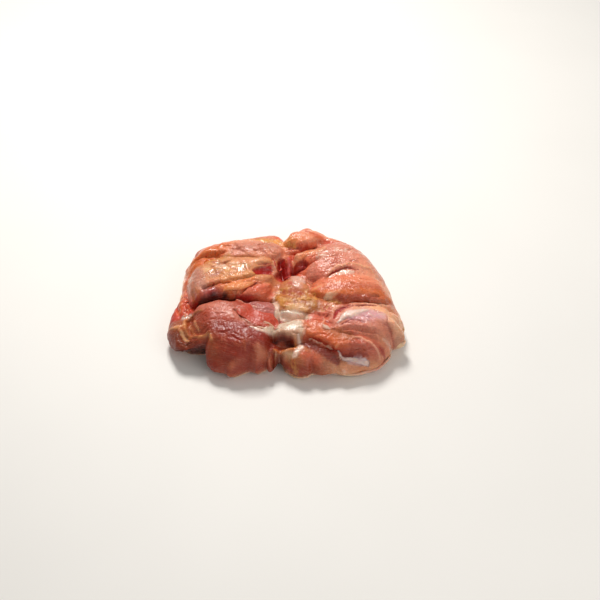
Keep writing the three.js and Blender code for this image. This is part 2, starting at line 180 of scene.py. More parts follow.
flesh = {
    "gridAcross": 330, "gridDeep": 268, "flatShare": 0.72,
    "rimWidth": 14.0, "rimRoundness": 0.85, "rimHeight": 8.0, "footInset": 9.0, "clearOfFloor": 1.0,
    "softness": 1.2, "toneSoftness": 0.8, "unevenness": 0.7,
    # squareness and roundness of every pillow across, and how steeply it falls away outside its edge
    "sideBlunt": 2.3, "crown": 0.46, "fallAway": 14,
    # the bed between the muscles: height at its front, rise to the back, fall beyond both sides, limits
    "bed": {"height": 20.5, "front": -20, "rise": 0.17, "side": 40, "fall": 0.1, "limits": (9, 28)},
    # noise that pushes lines about, as (width, strength)
    "muscleWander": ((8, 1.2), (3, 0.5)), "streakWander": ((3.4, 0.5), (1.3, 0.35)),
    # painted shade darkening the flanks of every pillow, as how much darker in red, green and blue, and the
    # film on every lip
    "flankShade": (0.14, 0.34, 0.42), "lipFilm": 0.45,
    # the meat's own wetness, in patches, fading out towards the front
    "wetness": {"least": 0.15, "patchy": 0.5, "width": 15, "most": 0.6, "fade": (-36, -18)},
    # relief in millimetres: grooves along the muscles, dimples, bundles, fibres, grit on fat and everywhere,
    # loose folds round the wall
    "grooves": 0.35, "dimples": 0.2, "bundles": 0.16, "fibres": 0.1,
    "fatGrit": 0.3, "fineGrit": 0.12, "wallFolds": (1.5, 0.6),
    # painted shade darkening the wall's front towards maroon, partly its own deeper red, and how much less of
    # it there is towards the right
    "wallShade": 0.85, "wallShadeRight": 0.75,
    "muscles": {
        "thighMain": bulge((-63, -27), (-8, -43), (29, 28), 46, 28, 3, 0, 6, "rose", split=0.5),
        "thighFront": bulge((-51, -46), (-9, -54), (20, 18), 26, 16, 0, 0, 6, "maroon", split=0.5),
        "thighFlap": bulge((-82, -31), (-50, -37), (19, 19), 24, 12, 0, 1, 4, "rust"),
        "thighInner": bulge((-62, -18), (-22, -24), (27, 29), 24, 14, 0, 2, 3, "rose"),
        "duskySlip": bulge((-30, -17), (-5, -22), (27, 27), 14, 12, 0, 1, 2.6, "dusky"),
        "backStrip": bulge((-49, 33), (-4, 33), (33, 33), 17, 6, 2, 0, 3.4, "peach"),
        "backCorner": bulge((-68, 20), (-42, 39), (27, 31), 17, 13, 2, 1, 2.8, "amber"),
        "backMain": bulge((-66, 5), (-8, 17), (30, 33), 31, 10, 2, 1, 3.6, "beige", split=0.3),
        "backFold": bulge((-61, -4), (-9, 2), (27, 29), 17, 9, -2, 1, 3.4, "tan"),
        "leftEdge": bulge((-68, 21), (-70, -10), (23, 20), 15, 14, 0, 0, 3, "salmon"),
        "leftTip": bulge((-78, -19), (-62, -2), (16, 19), 14, 12, 0, 0, 2.6, "brick"),
        "topFold": bulge((-3, 41), (34, 50), (35, 30), 15, 16, 3, 1, 2.4, "flushed"),
        "topRidge": bulge((14, 50), (58, 35), (31, 29), 14, 14, 3, 1, 3, "salmon"),
        "drumHead": bulge((4, 20), (26, 30), (31, 32), 20, 14, 0, 1, 2.8, "coral"),
        "drumBack": bulge((12, 20), (65, 19), (32, 31), 36, 17, 5, 3, 3.2, "blush", split=0.2),
        "drumMid": bulge((15, -4), (73, -3), (30, 29), 27, 16, 3, 3, 3.2, "flushed", split=0.6),
        "drumInner": bulge((9, -10), (71, -12), (25, 25), 20, 8, 0, 1, 3.5, "salmon"),
        "shinUpper": bulge((27, -27), (77, -32), (28, 25), 27, 10, 2, 2, 3, "blush"),
        "shinMid": bulge((24, -42), (72, -44), (22, 20), 20, 8, 1, 2, 3.4, "rose"),
        "kneeRight": bulge((9, -30), (36, -39), (26, 24), 21, 9, 0, 0.5, 3, "salmon"),
        "kneeLower": bulge((2, -50), (36, -52), (19, 15), 25, 10, 0, 2, 3.4, "tan"),
        "shinLower": bulge((26, -53), (70, -48), (13, 13), 20, 8, -3, 0, 3, "tan"),
        "rightRim": bulge((68, -20), (77, -36), (25, 21), 15, 12, 1, 0, 3, "straw"),
        "fatCentre": bulge((-8, -9), (26, -16), (26, 27), 24, 14, 0, 0, 3.2, "honey", split=0),
        "heelFill": bulge((20, -16), (38, -18), (26, 27), 15, 6, 0, 0, 3, "tan", split=0),
        "kneeCap": bulge((-9, -36.5), (13, -35.5), (23, 27), 15, 8, 0, 1, 3, "bone", split=0),
        "kneeFloor": bulge((-12, -47), (6, -48), (20, 20), 12, 5, 0, 0, 4, "umber", split=0),
        "kneeSill": bulge((-9, -50.6), (6, -51.6), (18, 20), 7, 7, 0, 0.6, 3, "tan", split=0),
        "fatUpper": bulge((-4, 6), (18, -4), (27, 27), 18, 12, 0, 1, 2.6, "tan", split=0),
    },
    "creases": {
        "boneBedLeft": furrow((-66, -9.5), (-34, -8.5), 9, 1.8, 1, 1.6, 3.0, 1, near=2.2, step=1.2),
        "boneBedMid": furrow((-42, -9.8), (-6, -9), 5, 1.0, 0.4, 0.8, 2.4, 1, near=1.4, step=1.0),
        "boneBedRight": furrow((32, -17), (69, -13), 3, 0.6, 1.2, 1.0, 2.0, 1, near=1.5, step=0.6),
        "crescent": furrow((25, 3), (48, 12), 1.6, 0.6, 4.5, 0.5, 0.8, 0.8, near=1.0, step=0.5),
        "topFoldUnder": furrow((-2, 33), (21, 42), 5, 1.5, -1, 1.0, 1.8, 0.8, near=1.6, step=0.8),
        "bloodLeft": furrow((-22, 17), (-8, 21), 2, 1.2, 0, 0.3, 0.8, 0.8, step=0.3),
        "bloodMid": furrow((-5, 27), (-2, 10), 3.4, 1.8, 0, 0.5, 0, 0.9),
        "bloodRight": furrow((4, 32), (4, 12), 4, 1.6, 0, 0.8, 0.6, 0.9),
        "headUnder": furrow((5, 17), (24, 24), 3.5, 1.2, -1, 0.6, 1.0, 0.6, step=0.6),
        "shinSplit": furrow((34, -38), (72, -43), 4.5, 1.2, 1, 0.2, 0.6, 0.5, step=0.5),
        "kneeSplit": furrow((13, -40), (40, -52), 3.4, 0.9, -1, 0.3, 1.8, 0.9, near=2.0, step=1.0),
        "middleSplit": furrow((-9.4, -50), (-5, -67), 11, 1.3, -1, 0, 0, 1),
        "lowSplit": furrow((30, -48), (56, -49), 3, 1.1, -1, 0.8, 1.4, 0.5, step=0.8),
        "stripUnder": furrow((-42, 25), (-14, 23), 0.6, 0.7, 1.6, 0.4, 0.8, 0.4, near=1.5, step=0.6),
        "cornerUnder": furrow((-68, 25), (-43, 30), 3.6, 1.1, 2, 0.8, 1.6, 0.7, near=1.8, step=1.0),
        "sheetEdge": furrow((-58, -2), (-37, 1), 2, 0.8, 1, 0.6, 2.0, 0.8, near=2.0, step=1.0),
        "sheetEdgeTwo": furrow((-40, 3), (-17, 11), 1.8, 0.8, -1.5, 0.6, 2.0, 0.8, near=2.0, step=1.0),
        "sheetTear": furrow((-50, 18), (-36, 23), 0.6, 0.7, -1.5, 0.5, 0.8, 0.2, step=1.2),
        "leftRagOne": furrow((-70, 12), (-66, -20), 3, 1.1, 1.5, 0.8, 0.6, 0.8),
        "leftRagTwo": furrow((-74, 6), (-70, -22), 3, 1.1, -1.5, 0.8, 0.6, 0.8),
        "leftRagThree": furrow((-63, 4), (-61, -14), 3, 1.2, -1.0, 0.6, 0.6, 0.7),
        "rightFold": furrow((67, -12), (69, -40), 1, 1.2, 1.5, 0.1, 0.4, 0.2, step=0.2),
        "bandUnder": furrow((14, -3), (38, -12), 2.6, 1.2, -3, 0.6, 1.0, 0.4, near=1.5, step=0.6),
        "slipEdge": furrow((-34, -23), (-8, -40), 1.6, 0.7, -4, 0, 0, 0.9, near=1.4),
        "thighSkirt": furrow((-47, -47), (-12, -55), 1.4, 1.6, -2, 0, 0, 0, near=2.0, step=0.8),
    },
    "dents": {
        "kneeHole": dict(at=(-3, -46.4), size=(7.4, 3.6), depth=4, blood=0.2),
        "bloodHole": dict(at=(-15, 12), size=(8, 4), depth=2.4, blood=1),
        "bloodPit": dict(at=(-3, 15), size=(7, 7.5), depth=3, blood=1),
        "bloodWell": dict(at=(8, 20), size=(7, 5.5), depth=4, blood=1),
    },
    # fat, film, blood and orange stains
    "patches": {
        "yellowCentre": smear("yellow", (-4, -5), (16, -10), 6.5, 0, 1),
        "yellowFront": smear("yellow", (-6, -12), (9, -18), 6, 0, 0.9),
        "yellowBack": smear("yellow", (-24, 45), (3, 40), 5, 1, 0.9),
        "yellowKnee": smear("yellow", (2, -55), (6, -62), 4, 0, 0.6),
        "yellowRight": smear("yellow", (70, -16), (77, -32), 4, 0, 0.5),
        "yellowSheet": smear("yellow", (-52, 8), (-34, 13), 4, 0, 0.6),
        "yellowBand": smear("yellow", (22, -12), (40, -14), 3, 0, 0.5),
        "yellowStrip": smear("yellow", (-56, 22), (-40, 26), 4, 0, 0.6),
        "yellowFoot": smear("yellow", (-20, -62), (-10, -60), 3, 0, 0.5),
        "headFilm": smear("film", (22, 26), (50, 30), 6, 2, 0.5),
        "rimFilm": smear("film", (34, -62), (68, -58), 3, -2, 0.5),
        "edgeFilm": smear("film", (-67, 14), (-64, 0), 3, 0, 0.6),
        "tipRed": smear("blood", (-77, -20), (-63, -5), 5, 0, 0.6),
        "backRed": smear("blood", (-5, 24), (-2, 18), 4, 0, 0.6),
        "bedRed": smear("blood", (-62, -8), (-14, -4), 4, 1, 0.6),
        "sheetRed": smear("blood", (-56, -4), (-46, 0), 4, 1, 0.6),
        "cornerOrange": smear("orange", (-68, 22), (-44, 36), 7, 0, 0.9),
        "bandOrange": smear("orange", (18, -7), (68, -9), 4, 0, 0.7),
        "foldOrange": smear("orange", (2, 44), (34, 50), 6, 0, 0.6),
        "kneeOrange": smear("orange", (16, -40), (38, -47), 5, 0, 0.6),
        "leftOrange": smear("orange", (-72, 14), (-72, -14), 5, 0, 0.7),
        "flapOrange": smear("orange", (-74, -32), (-62, -34), 6, 0, 0.35),
        "headOrange": smear("orange", (8, 22), (16, 32), 5, 0, 0.6),
    },
    "strokes": {
        "flapRim": streak(((-56, -21.6), (-63.4, -19.5), (-68, -24), (-67, -33), (-62.4, -38.6),
            (-55, -41.8), (-50.5, -41.5), (-48.5, -46)), (0.6, 1.2, 0.8), 1.5, (214, 146, 90), 0.85,
            soft=0.7, film=0.2),
        # painted shade, partly their own brownish red: the flap's front face and its red patch darkened
        "flapFace": streak(((-60, -25), (-60, -35)), (5, 6.5, 5), -2.4, (156, 72, 34), 0.75, soft=0.7),
        "flapRed": streak(((-58, -25), (-54, -31), (-50, -39)), (2, 4.5, 3.5), 0, (148, 50, 24), 0.7,
            soft=1.0),
        "faceStreakOne": streak(((-62, -26), (-60, -31), (-57, -37)), (0.3, 0.6, 0.3), 0.4, (232, 170, 122),
            0.7),
        "faceStreakTwo": streak(((-64.5, -28), (-62, -34), (-60, -38)), (0.3, 0.5, 0.3), 0.4,
            (228, 160, 110), 0.6),
        "flapTop": streak(((-78, -28), (-73, -30), (-67, -30)), (1, 1.4, 0.8), 0.8, (224, 164, 108), 0.85,
            film=0.3),
        # painted shade: the dark hollow under the flap
        "flapUnderShade": streak(((-77, -33), (-68, -41), (-60, -44)), (3, 4, 3), 0, (112, 44, 16), 0.85,
            soft=0.8),
        "flapDrop": streak(((-66, -38), (-56, -41)), (4, 5.5, 4), -5, (138, 58, 22), 0, soft=0.9),
        "flapFolds": streak(((-71, -32), (-68, -37), (-64, -41)), (0.8, 1.2, 0.6), 0.7, (228, 180, 128),
            0.75),
        "thighSilver": streak(((-32, -29), (-24, -35), (-17, -39)), (0.6, 1.6, 0.8), 0.2, (214, 162, 148),
            0.5, film=0.55, wet=0.5),
        "thighSilverTwo": streak(((-42, -25), (-34, -31)), (0.5, 1.3, 0.5), 0.2, (214, 162, 148), 0.5,
            film=0.5, wet=0.5),
        "thighPale": streak(((-56, -17), (-42, -22), (-30, -30)), (3, 6, 3), 0, (208, 134, 112), 0.6,
            soft=0.9),
        "thighBrow": streak(((-46, -38), (-30, -40), (-13, -44)), (4, 6, 4), 0, (138, 34, 16), 0.7,
            soft=0.9),
        "thighFootPale": streak(((-46, -61), (-30, -62), (-9, -58)), (2, 4, 5), 0, (214, 132, 96), 0.8,
            soft=0.8),
        "thighCornerPale": streak(((-18, -52), (-11, -58)), (2, 4, 3.4), 0.3, (216, 140, 106), 0.75,
            soft=1.0),
        "kneeBand": streak(((-24, -38), (-16, -40), (-9, -38.5)), (0.5, 2.0, 2.4), 0.7, (228, 210, 196),
            0.9, film=0.55, wet=1),
        "kneeBandGap": streak(((-23, -37), (-17, -38.8), (-10, -37.4)), (0.3, 0.6, 0.3), -0.5,
            (192, 86, 66), 0.8, soft=0.8),
        "slipThread": streak(((-34, -12), (-27, -17), (-19, -21)), (0.3, 0.5, 0.2), 0.5, (236, 186, 164),
            0.85),
        "slipLine": streak(((-35, -24), (-26, -31), (-14, -37)), (0.4, 0.9, 0.4), -0.8, (140, 30, 22), 0.9),
        "duskyFacet": streak(((-27, -13.5), (-18, -14), (-8, -14)), (2, 4.6, 4), 0, (178, 108, 102), 0.85,
            soft=0.6, film=0.15, wet=0.4),
        "silverEdge": streak(((-9, -8), (-6, -17), (-7, -27)), (0.8, 1.8, 1.2), 0.5, (238, 218, 200), 0.95,
            film=0.6, wet=0.9),
        "amberBulge": streak(((-42, -6), (-34, -3), (-25, 2)), (1, 3, 1.4), 1.2, (218, 128, 76), 0.6,
            soft=0.6),
        "wallCut": streak(((-32, -7.5), (-26, -3), (-21, 1)), (0.4, 0.7, 0.3), -1.3, (150, 50, 34), 0.85),
        "wallTriangle": streak(((-26, -5.5), (-19, -3), (-12, 1)), (0.8, 2.8, 1), 1.1, (222, 126, 92), 0.75,
            soft=0.6),
        "wallPurple": streak(((-55, -3.5), (-45, -6)), (2, 3.4, 2.4), -1.3, (146, 44, 48), 0.8, soft=0.7,
            wet=0.6),
        # painted shade at the foot of the wall, partly blood
        "wallLow": streak(((-61, -8.2), (-46, -8), (-30, -8.8), (-20, -8.6)), (1.2, 2.4, 1.2), -0.7,
            (88, 16, 12), 0.9, soft=0.7, blood=0.6),
        "wallSalmon": streak(((-31, -5.6), (-22, -5), (-12, -4)), (2, 4.2, 3.4), 0, (212, 98, 70), 0.75,
            soft=0.9),
        "wallAmber": streak(((-40, -6), (-33, -5), (-27, -3)), (1.2, 2.2, 1.2), 0.4, (216, 122, 66), 0.7,
            soft=0.8),
        "wallRed": streak(((-58, -6), (-48, -7.5)), (1.6, 2.6, 1.8), 0, (176, 40, 40), 0.7, soft=0.7),
        # painted shadow: the dark band under the sheet's lip, where the furrow itself is hidden
        "wallShade": streak(((-60, -7.9), (-54, -7.4), (-47, -7), (-35, -8.4)), (1, 2.3, 0.9), -0.8,
            (46, 5, 4), 0.95),
        "underSheet": streak(((-48, 0), (-36, 1), (-22, 5)), (1, 1.8, 1.2), 0, (224, 122, 56), 0.75,
            soft=0.7),
        "sheetGlowLow": streak(((-44, 3), (-30, 6), (-18, 10)), (1.4, 2.4, 1.6), 0.3, (228, 160, 96), 0.6,
            soft=0.8),
        "sheetBulge": streak(((-38, 19), (-28, 20), (-18, 21)), (2, 3.6, 2), 0.7, (230, 166, 122), 0.6,
            soft=0.8),
        "sheetMauve": streak(((-62, 14), (-60, 4), (-56, -2)), (3, 5, 3), 0, (190, 134, 124), 0.7,
            soft=0.9),
        "sheetMauveTwo": streak(((-52, 6), (-44, 10)), (1, 2, 1), -0.3, (160, 100, 108), 0.6, soft=0.8),
        "sheetCrackle": streak(((-48, 15), (-38, 13), (-28, 15)), (1.5, 3, 2), 0.3, (226, 180, 126), 0.45,
            soft=0.9, film=0.35, wet=0.6),
        "sheetFoldOne": streak(((-54, 20), (-46, 12), (-40, 4)), (0.8, 2.0, 0.6), 0.6, (232, 176, 130), 0.6,
            soft=0.9, film=0.3),
        "sheetFoldTwo": streak(((-34, 24), (-28, 16), (-26, 9)), (0.7, 1.8, 0.5), 0.6, (226, 158, 118), 0.6,
            soft=0.9, film=0.2),
        "sheetGap": streak(((-44, 20), (-38, 13), (-33, 11)), (0.4, 1.0, 0.4), -0.5, (186, 98, 70), 0.6,
            soft=0.9),
        "stripFold": streak(((-36, 38), (-30, 30), (-26, 26)), (0.5, 1.1, 0.4), 0.8, (226, 158, 132), 0.6,
            film=0.2),
        "stripGap": streak(((-20, 37), (-17, 30), (-14, 27)), (0.4, 1.0, 0.4), -0.6, (182, 94, 76), 0.6,
            soft=0.9),
        "cornerUnder": streak(((-63, 24), (-54, 27), (-44, 30)), (1, 2.6, 1), -1, (196, 76, 34), 0.9,
            soft=0.6),
        "cornerTop": streak(((-62, 33), (-52, 37), (-43, 38)), (2, 3, 2), 0.6, (222, 128, 96), 0.7,
            soft=0.8, film=0.2, wet=0.8),
        "cornerRim": streak(((-70, 20), (-66, 28)), (1.5, 2.5, 1.5), 0.3, (222, 156, 112), 0.7, soft=0.8),
        "stripTop": streak(((-38, 33), (-24, 35), (-8, 34)), (4, 6, 4), 0, (190, 116, 94), 0.75, soft=0.8),
        # a paler wet spot at the strip's right end, partly a painted highlight
        "stripWetHighlight": streak(((-14, 31), (-8, 33)), (1.2, 1.8, 1.0), 0.3, (226, 172, 152), 0.6, soft=0.9,
            film=0.3, wet=1),
        "fatBand": streak(((-26, 44), (-14, 44), (-2, 42)), (1.5, 3, 2.4), 0.5, (226, 148, 84), 0.85,
            soft=0.6),
        "edgeOrange": streak(((-71, 18), (-70, 8)), (1, 1.6, 1), 0.3, (212, 98, 44), 0.85),
        "edgeMauve": streak(((-69, 8), (-66, -6)), (1.5, 3, 2), 0, (206, 150, 138), 0.7, soft=0.8, wet=0.4),
        "cavityLeft": streak(((-22, 10.5), (-15, 14), (-10, 17)), (1.6, 3.2, 2.6), -1.8, (158, 22, 12), 1,
            soft=0.4, wet=0.5, blood=0.35),
        "cavityMiddle": streak(((-4, 25), (-2, 19), (-1, 14)), (2.2, 3.6, 3.2), -1.4, (166, 24, 22), 1,
            wet=0.6, blood=0.6),
        "cavityRight": streak(((4, 20), (8, 19.4), (11.5, 21.5)), (2.2, 3.0, 1.4), -1.6, (166, 16, 16), 1,
            soft=0.4, wet=0.5, blood=0.6),
        "cavityFoot": streak(((-12, 12), (-5, 11), (3, 15)), (1.2, 2.2, 1.6), -0.8, (176, 46, 32), 0.8,
            soft=0.7),
        "bloodRidge": streak(((1.5, 27), (2.8, 22.5), (1.2, 18.5)), (1.3, 2.2, 1.0), 1.3, (200, 92, 90),
            0.85, soft=0.7, film=0.2, wet=0.5),
        "bloodGrain": streak(((-9, 25), (-8, 18), (-9, 12)), (1.0, 1.9, 1.0), 0.9, (226, 162, 132), 0.7,
            soft=0.8, film=0.4),
        "gristlePink": streak(((4, 11), (7, 5), (8, 0)), (3, 4.4, 3), 0.9, (220, 168, 150), 0.8, soft=0.6,
            film=0.35, wet=0.7),
        "gristleRed": streak(((1, 4), (5, 1)), (1, 1.8, 1), 0, (196, 78, 48), 0.7, soft=0.7),
        "fatRed": streak(((-2, -4), (5, -5.5), (11, -6)), (2, 3.8, 2), -0.3, (176, 74, 34), 0.9, soft=0.8,
            wet=0.2),
        "fatGlow": streak(((-6, -8), (-3, -12), (2, -15)), (2, 3.2, 2), 0.5, (218, 156, 66), 0.75, soft=0.7,
            wet=0.3),
        "fatGlowRight": streak(((13, -8), (17, -12), (18, -17)), (2, 3.4, 2), 0.4, (192, 138, 70), 0.7,
            soft=0.8, wet=0.2),
        "fatBrown": streak(((-1, -14.4), (3, -15)), (0.8, 1.6, 0.8), -0.5, (196, 104, 30), 0.8, soft=0.8),
        "fatCream": streak(((1, -17), (7, -18), (13, -19.6)), (1.4, 2.8, 1.4), 0.4, (236, 190, 138), 0.85,
            soft=0.8, film=0.2, wet=0.4),
        "gelatinBand": streak(((-3, -22), (6, -24), (15, -26)), (2.6, 4.2, 2), 0.5, (240, 222, 204), 0.9,
            film=0.5, wet=0.9),
        "gelatinStreak": streak(((-3, -20), (4, -22.4), (11, -23.4)), (0.3, 0.9, 0.3), 0.7, (250, 236, 220),
            0.9, soft=0.6, film=0.3, wet=1),
        "gelatinShade": streak(((-1, -25), (7, -26.8), (14, -27.4)), (0.3, 0.9, 0.4), -0.5, (160, 116, 92),
            0.7, soft=0.8),
        "knob": streak(((-14, -39), (-4, -36.5), (4, -35.8), (9, -35.4)), (1.2, 4.2, 5.4), 0.8,
            (214, 194, 172), 0.95, soft=0.3, film=0.15, wet=0.55),
        # painted shade where the knob turns down into the hole
        "knobShade": streak(((-8, -40.6), (0, -40.6), (7, -41)), (1.2, 2.0, 1.4), 0, (190, 140, 112), 0.7,
            soft=0.8),
        # the knob's pink rim, partly a painted highlight
        "knobRim": streak(((5, -29.8), (11, -31), (13, -35.5), (11.6, -40)), (0.5, 1.2, 0.8), 0.7,
            (240, 180, 150), 0.85, soft=0.6, wet=0.3),
        # painted shade in the hole under the knob, darkest in its deepest part
        "holeDark": streak(((-9.4, -42.4), (-4, -43.2), (2.8, -45.4)), (1.8, 2.8, 2.6), -1.8, (128, 40, 14),
            1, soft=0.35),
        "holeDeep": streak(((-9, -42.5), (-3, -42.6), (3, -44.3), (5.4, -47)), (0.5, 0.8, 0.8), -0.8,
            (72, 15, 4), 0.9, soft=0.7),
        # painted light on the hole's floor
        "holeLit": streak(((-6, -44.6), (-2, -45), (1, -46.2)), (0.7, 1.5, 0.8), 0.5, (182, 84, 44), 0.8,
            soft=0.8, wet=0.5),
        "holeRim": streak(((6.4, -45), (5.4, -49), (0, -50.2), (-8, -49.2)), (0.8, 1.5, 1.0), 0.5,
            (216, 132, 70), 0.8, soft=0.6, wet=0.5),
        "sillPale": streak(((-6, -52.2), (0, -53), (5, -53.6)), (1.2, 2.2, 1.6), 0.5, (212, 172, 132), 0.8,
            soft=0.7, film=0.4, wet=0.5),
        "kneeWhite": streak(((7.6, -42.4), (10.2, -46), (8.6, -50), (5, -54)), (0.7, 1.9, 1.2), 0.5,
            (226, 206, 192), 0.8, soft=0.6, film=0.5, wet=0.8),
        "kneeOrangeFat": streak(((-5, -57), (1, -58)), (2.4, 3.6, 3), 0.4, (200, 112, 54), 0.7, soft=0.8),
        "kneeLobe": streak(((12, -54), (20, -56)), (3, 4.5, 3), 0.3, (206, 102, 74), 0.75, soft=0.8),
        "kneeMaroon": streak(((11, -45), (22, -50), (33, -56)), (1.6, 3.2, 2), -0.6, (122, 44, 34), 0.85,
            soft=0.6),
        "fascia": streak(((15, -42.5), (20, -44), (27, -46.4), (33.6, -50.8), (35.4, -54.2)),
            (0.2, 0.45, 0.3), 0.7, (240, 200, 180), 0.9, soft=0.6, film=0.1, wet=0.3),
        # painted shadow under the lower edge of the roll above the membrane
        "shinEdge": streak(((36.6, -51.4), (44, -52.7), (54, -52.8)), (0.4, 0.9, 0.5), -0.9, (128, 36, 28),
            0.85),
        "membrane": streak(((34, -52), (41, -55.2), (53, -55.4)), (0.3, 2.3, 1.4), 0.5, (214, 200, 208),
            0.95, soft=0.3, film=0.6, wet=0.9),
        "membraneShade": streak(((40, -56.6), (50, -57)), (0.4, 0.9, 0.4), 0.3, (186, 136, 124), 0.7,
            soft=0.8),
        "shinPanel": streak(((35, -45.5), (46, -47.5), (57, -48.5)), (2, 4.4, 4), 0, (186, 98, 78), 0.8),
        "shinPale": streak(((43, -42.6), (51, -44.5), (58, -48), (61, -52)), (0.5, 0.8, 0.5), 0.6,
            (238, 180, 150), 0.85, film=0.2),
        "shinOlive": streak(((27, -38.5), (35, -41), (43, -44)), (2.4, 4.4, 2.2), 0.3, (188, 114, 72), 0.8,
            soft=0.7),
        "shinSpot": streak(((61, -47.5), (64.5, -49.5)), (0.9, 1.8, 0.9), -0.5, (160, 42, 32), 0.85,
            soft=0.7),
        "endFold": streak(((71, -37.4), (74, -36.6), (78, -35.6)), (0.4, 0.9, 0.4), -1, (120, 48, 28),
            0.85),
        "endPale": streak(((64, -41.5), (70, -42), (75, -39.5)), (0.8, 2.0, 1.2), 0.6, (236, 190, 168), 0.8,
            soft=0.6, film=0.3, wet=0.5),
        "endShade": streak(((60, -55), (67, -51), (72, -46)), (0.5, 1.2, 0.5), -0.4, (168, 92, 66), 0.7,
            soft=0.8),
        # painted shade in the heel's cleft, partly dark red flesh and blood
        "heelDark": streak(((31, -29), (32.5, -25), (37, -21.8), (44, -19.6)), (0.6, 1.2, 0.3), -0.4,
            (156, 44, 30), 0.9, soft=0.9, blood=0.3),
        "spindleBody": streak(((41, -34), (55, -35), (68, -36)), (2, 5.4, 4), 0.4, (200, 118, 102), 0.7,
            soft=0.7),
        "spindleLilac": streak(((42, -29.6), (52, -27.4), (63, -28)), (3, 5.4, 3.2), 0.6, (214, 166, 178),
            0.85, soft=0.7, film=0.35, wet=0.85),
        # the blade of silverskin on the spindle, partly a painted highlight
        "spindleBlade": streak(((33.6, -34.4), (38.8, -28), (53, -23.8)), (0.3, 3.2, 0.9), 1.0,
            (236, 222, 218), 0.95, soft=0.4, film=0.6, wet=1),
        "spindleShade": streak(((36, -35.5), (43, -32), (52, -34)), (0.4, 0.8, 0.4), -0.7, (148, 58, 48),
            0.8),
        # painted shade in the crease beside the blade, partly its deep red
        "heelRed": streak(((31.2, -28.8), (32.8, -24.6), (36.4, -20.8), (42, -18.8)), (0.7, 1.4, 0.3), -1.1,
            (172, 14, 8), 0.95),
        "kneeFace": streak(((14, -35.5), (19, -34.5), (24, -35.5)), (3.6, 4.6, 3), 0.4, (208, 112, 70),
            0.85, soft=0.4, wet=0.3),
        "kneeEdge": streak(((24.5, -28), (24.5, -36)), (0.3, 0.6, 0.3), 0.4, (230, 170, 140), 0.7),
        "whiteSpeck": streak(((25, -36), (28, -37.5)), (1, 1.5, 1), 0.9, (230, 204, 188), 0.9, film=0.4),
        "pinkLobe": streak(((16, -25), (23, -24)), (2, 2.8, 2), 0.8, (208, 112, 92), 0.75, film=0.15,
            wet=0.5),
        "pinkLobeTwo": streak(((24, -27), (28, -22)), (1.4, 2.2, 1.6), 0.8, (198, 94, 76), 0.75),
        "rightEnd": streak(((71.6, -27), (75, -33)), (4, 5.6, 4), 1.5, (240, 192, 156), 0.8, soft=0.6,
            wet=0.4),
        "endCrease": streak(((66.4, -27), (66.6, -33), (70.6, -37.4)), (0.4, 0.9, 0.4), -1.0, (172, 88, 68),
            0.8, soft=0.6),
        "bandRed": streak(((36, -11.5), (52, -12.5), (68, -9)), (2.2, 3.8, 3), 0, (156, 54, 30), 0.85,
            soft=0.8),
        "bandCream": streak(((26, -11), (31, -9.8), (37, -8)), (0.7, 1.8, 0.6), 0.7, (242, 208, 172), 0.9,
            soft=0.4, film=0.3, wet=0.7),
        "bandOlive": streak(((28, -14), (36, -14.4)), (0.9, 1.3, 0.7), 0.3, (196, 134, 66), 0.8),
        "creaseRed": streak(((38, -17.6), (48, -18.4), (60, -17.6)), (0.5, 0.8, 0.3), -0.7, (146, 24, 18),
            0.9, blood=0.3),
        "creaseLip": streak(((44, -16.4), (56, -16.8), (70, -13.6)), (0.4, 0.8, 0.9), 0.4, (234, 168, 138),
            0.8),
        "drumGlow": streak(((26, 3), (42, 2), (58, 2)), (3, 6, 5), 0, (228, 136, 100), 0.65, soft=0.8),
        "drumLow": streak(((22, -5), (42, -6.5), (62, -5)), (2, 4.4, 3.6), 0, (184, 78, 42), 0.7, soft=0.9),
        "drumRim": streak(((26, 5.6), (33, 13.5), (44, 16.6), (57, 15), (66, 7)), (0.3, 0.7, 0.4), 0.3,
            (240, 182, 136), 0.6, soft=0.8),
        "drumEdge": streak(((58, 8), (66, 2), (69, -6)), (1.5, 3, 3), 0, (228, 150, 106), 0.7, soft=0.8),
        "crescentFill": streak(((25.5, 4), (31, 10), (40, 13), (49, 12)), (0.4, 0.8, 0.3), -0.3,
            (150, 34, 24), 1, blood=0.4),
        # painted highlight under the crescent, on real film and wetness
        "crescentWetHighlight": streak(((29, 5), (36, 8.8), (45, 9.4)), (0.4, 2.0, 1.2), 0.9, (246, 214, 202), 0.75,
            film=0.75, wet=1),
        "headPale": streak(((7, 26), (14, 30), (24, 32)), (3.4, 4.6, 3), 0.8, (228, 166, 128), 0.85,
            soft=0.4, film=0.1, wet=0.3),
        "foldCrease": streak(((1, 37.5), (10, 38.5), (20, 41.5)), (0.5, 1.1, 0.4), -1, (166, 50, 32), 0.9,
            soft=0.4),
        "foldFat": streak(((3, 41), (9, 43)), (1.6, 2.6, 1.6), 0.4, (228, 142, 76), 0.8, soft=0.7),
        # painted light brightening the top fold where it is in shade
        "foldGlow": streak(((8, 46), (20, 50), (34, 50)), (3, 6, 4), 0, (246, 184, 160), 0.85, soft=0.9,
            wet=0.3),
        "ridgeRed": streak(((13, 50.6), (22, 46.6), (33, 40.4)), (0.8, 1.8, 0.8), 0.3, (196, 62, 44), 0.75,
            soft=0.8, wet=0.5),
        "drumTorn": streak(((20, 20), (22, 12), (25, 2)), (1, 2.4, 1), 0.3, (222, 124, 98), 0.6, soft=0.9),
        "tipRed": streak(((-75, -19), (-68, -12)), (2.6, 4, 2.6), 0, (206, 66, 48), 0.75, soft=0.8),
        "tipSilver": streak(((-69, -21), (-65, -19)), (1.6, 2.4, 1.4), 0.4, (196, 170, 162), 0.8, soft=0.6,
            film=0.6, wet=0.8),
    },
    # broad changes of the base colour
    "washes": {
        # painted shade on the thigh's front, partly its deeper red
        "thighFace": smear("maroon", (-47, -42), (-8, -50), 12, -2, 0.9),
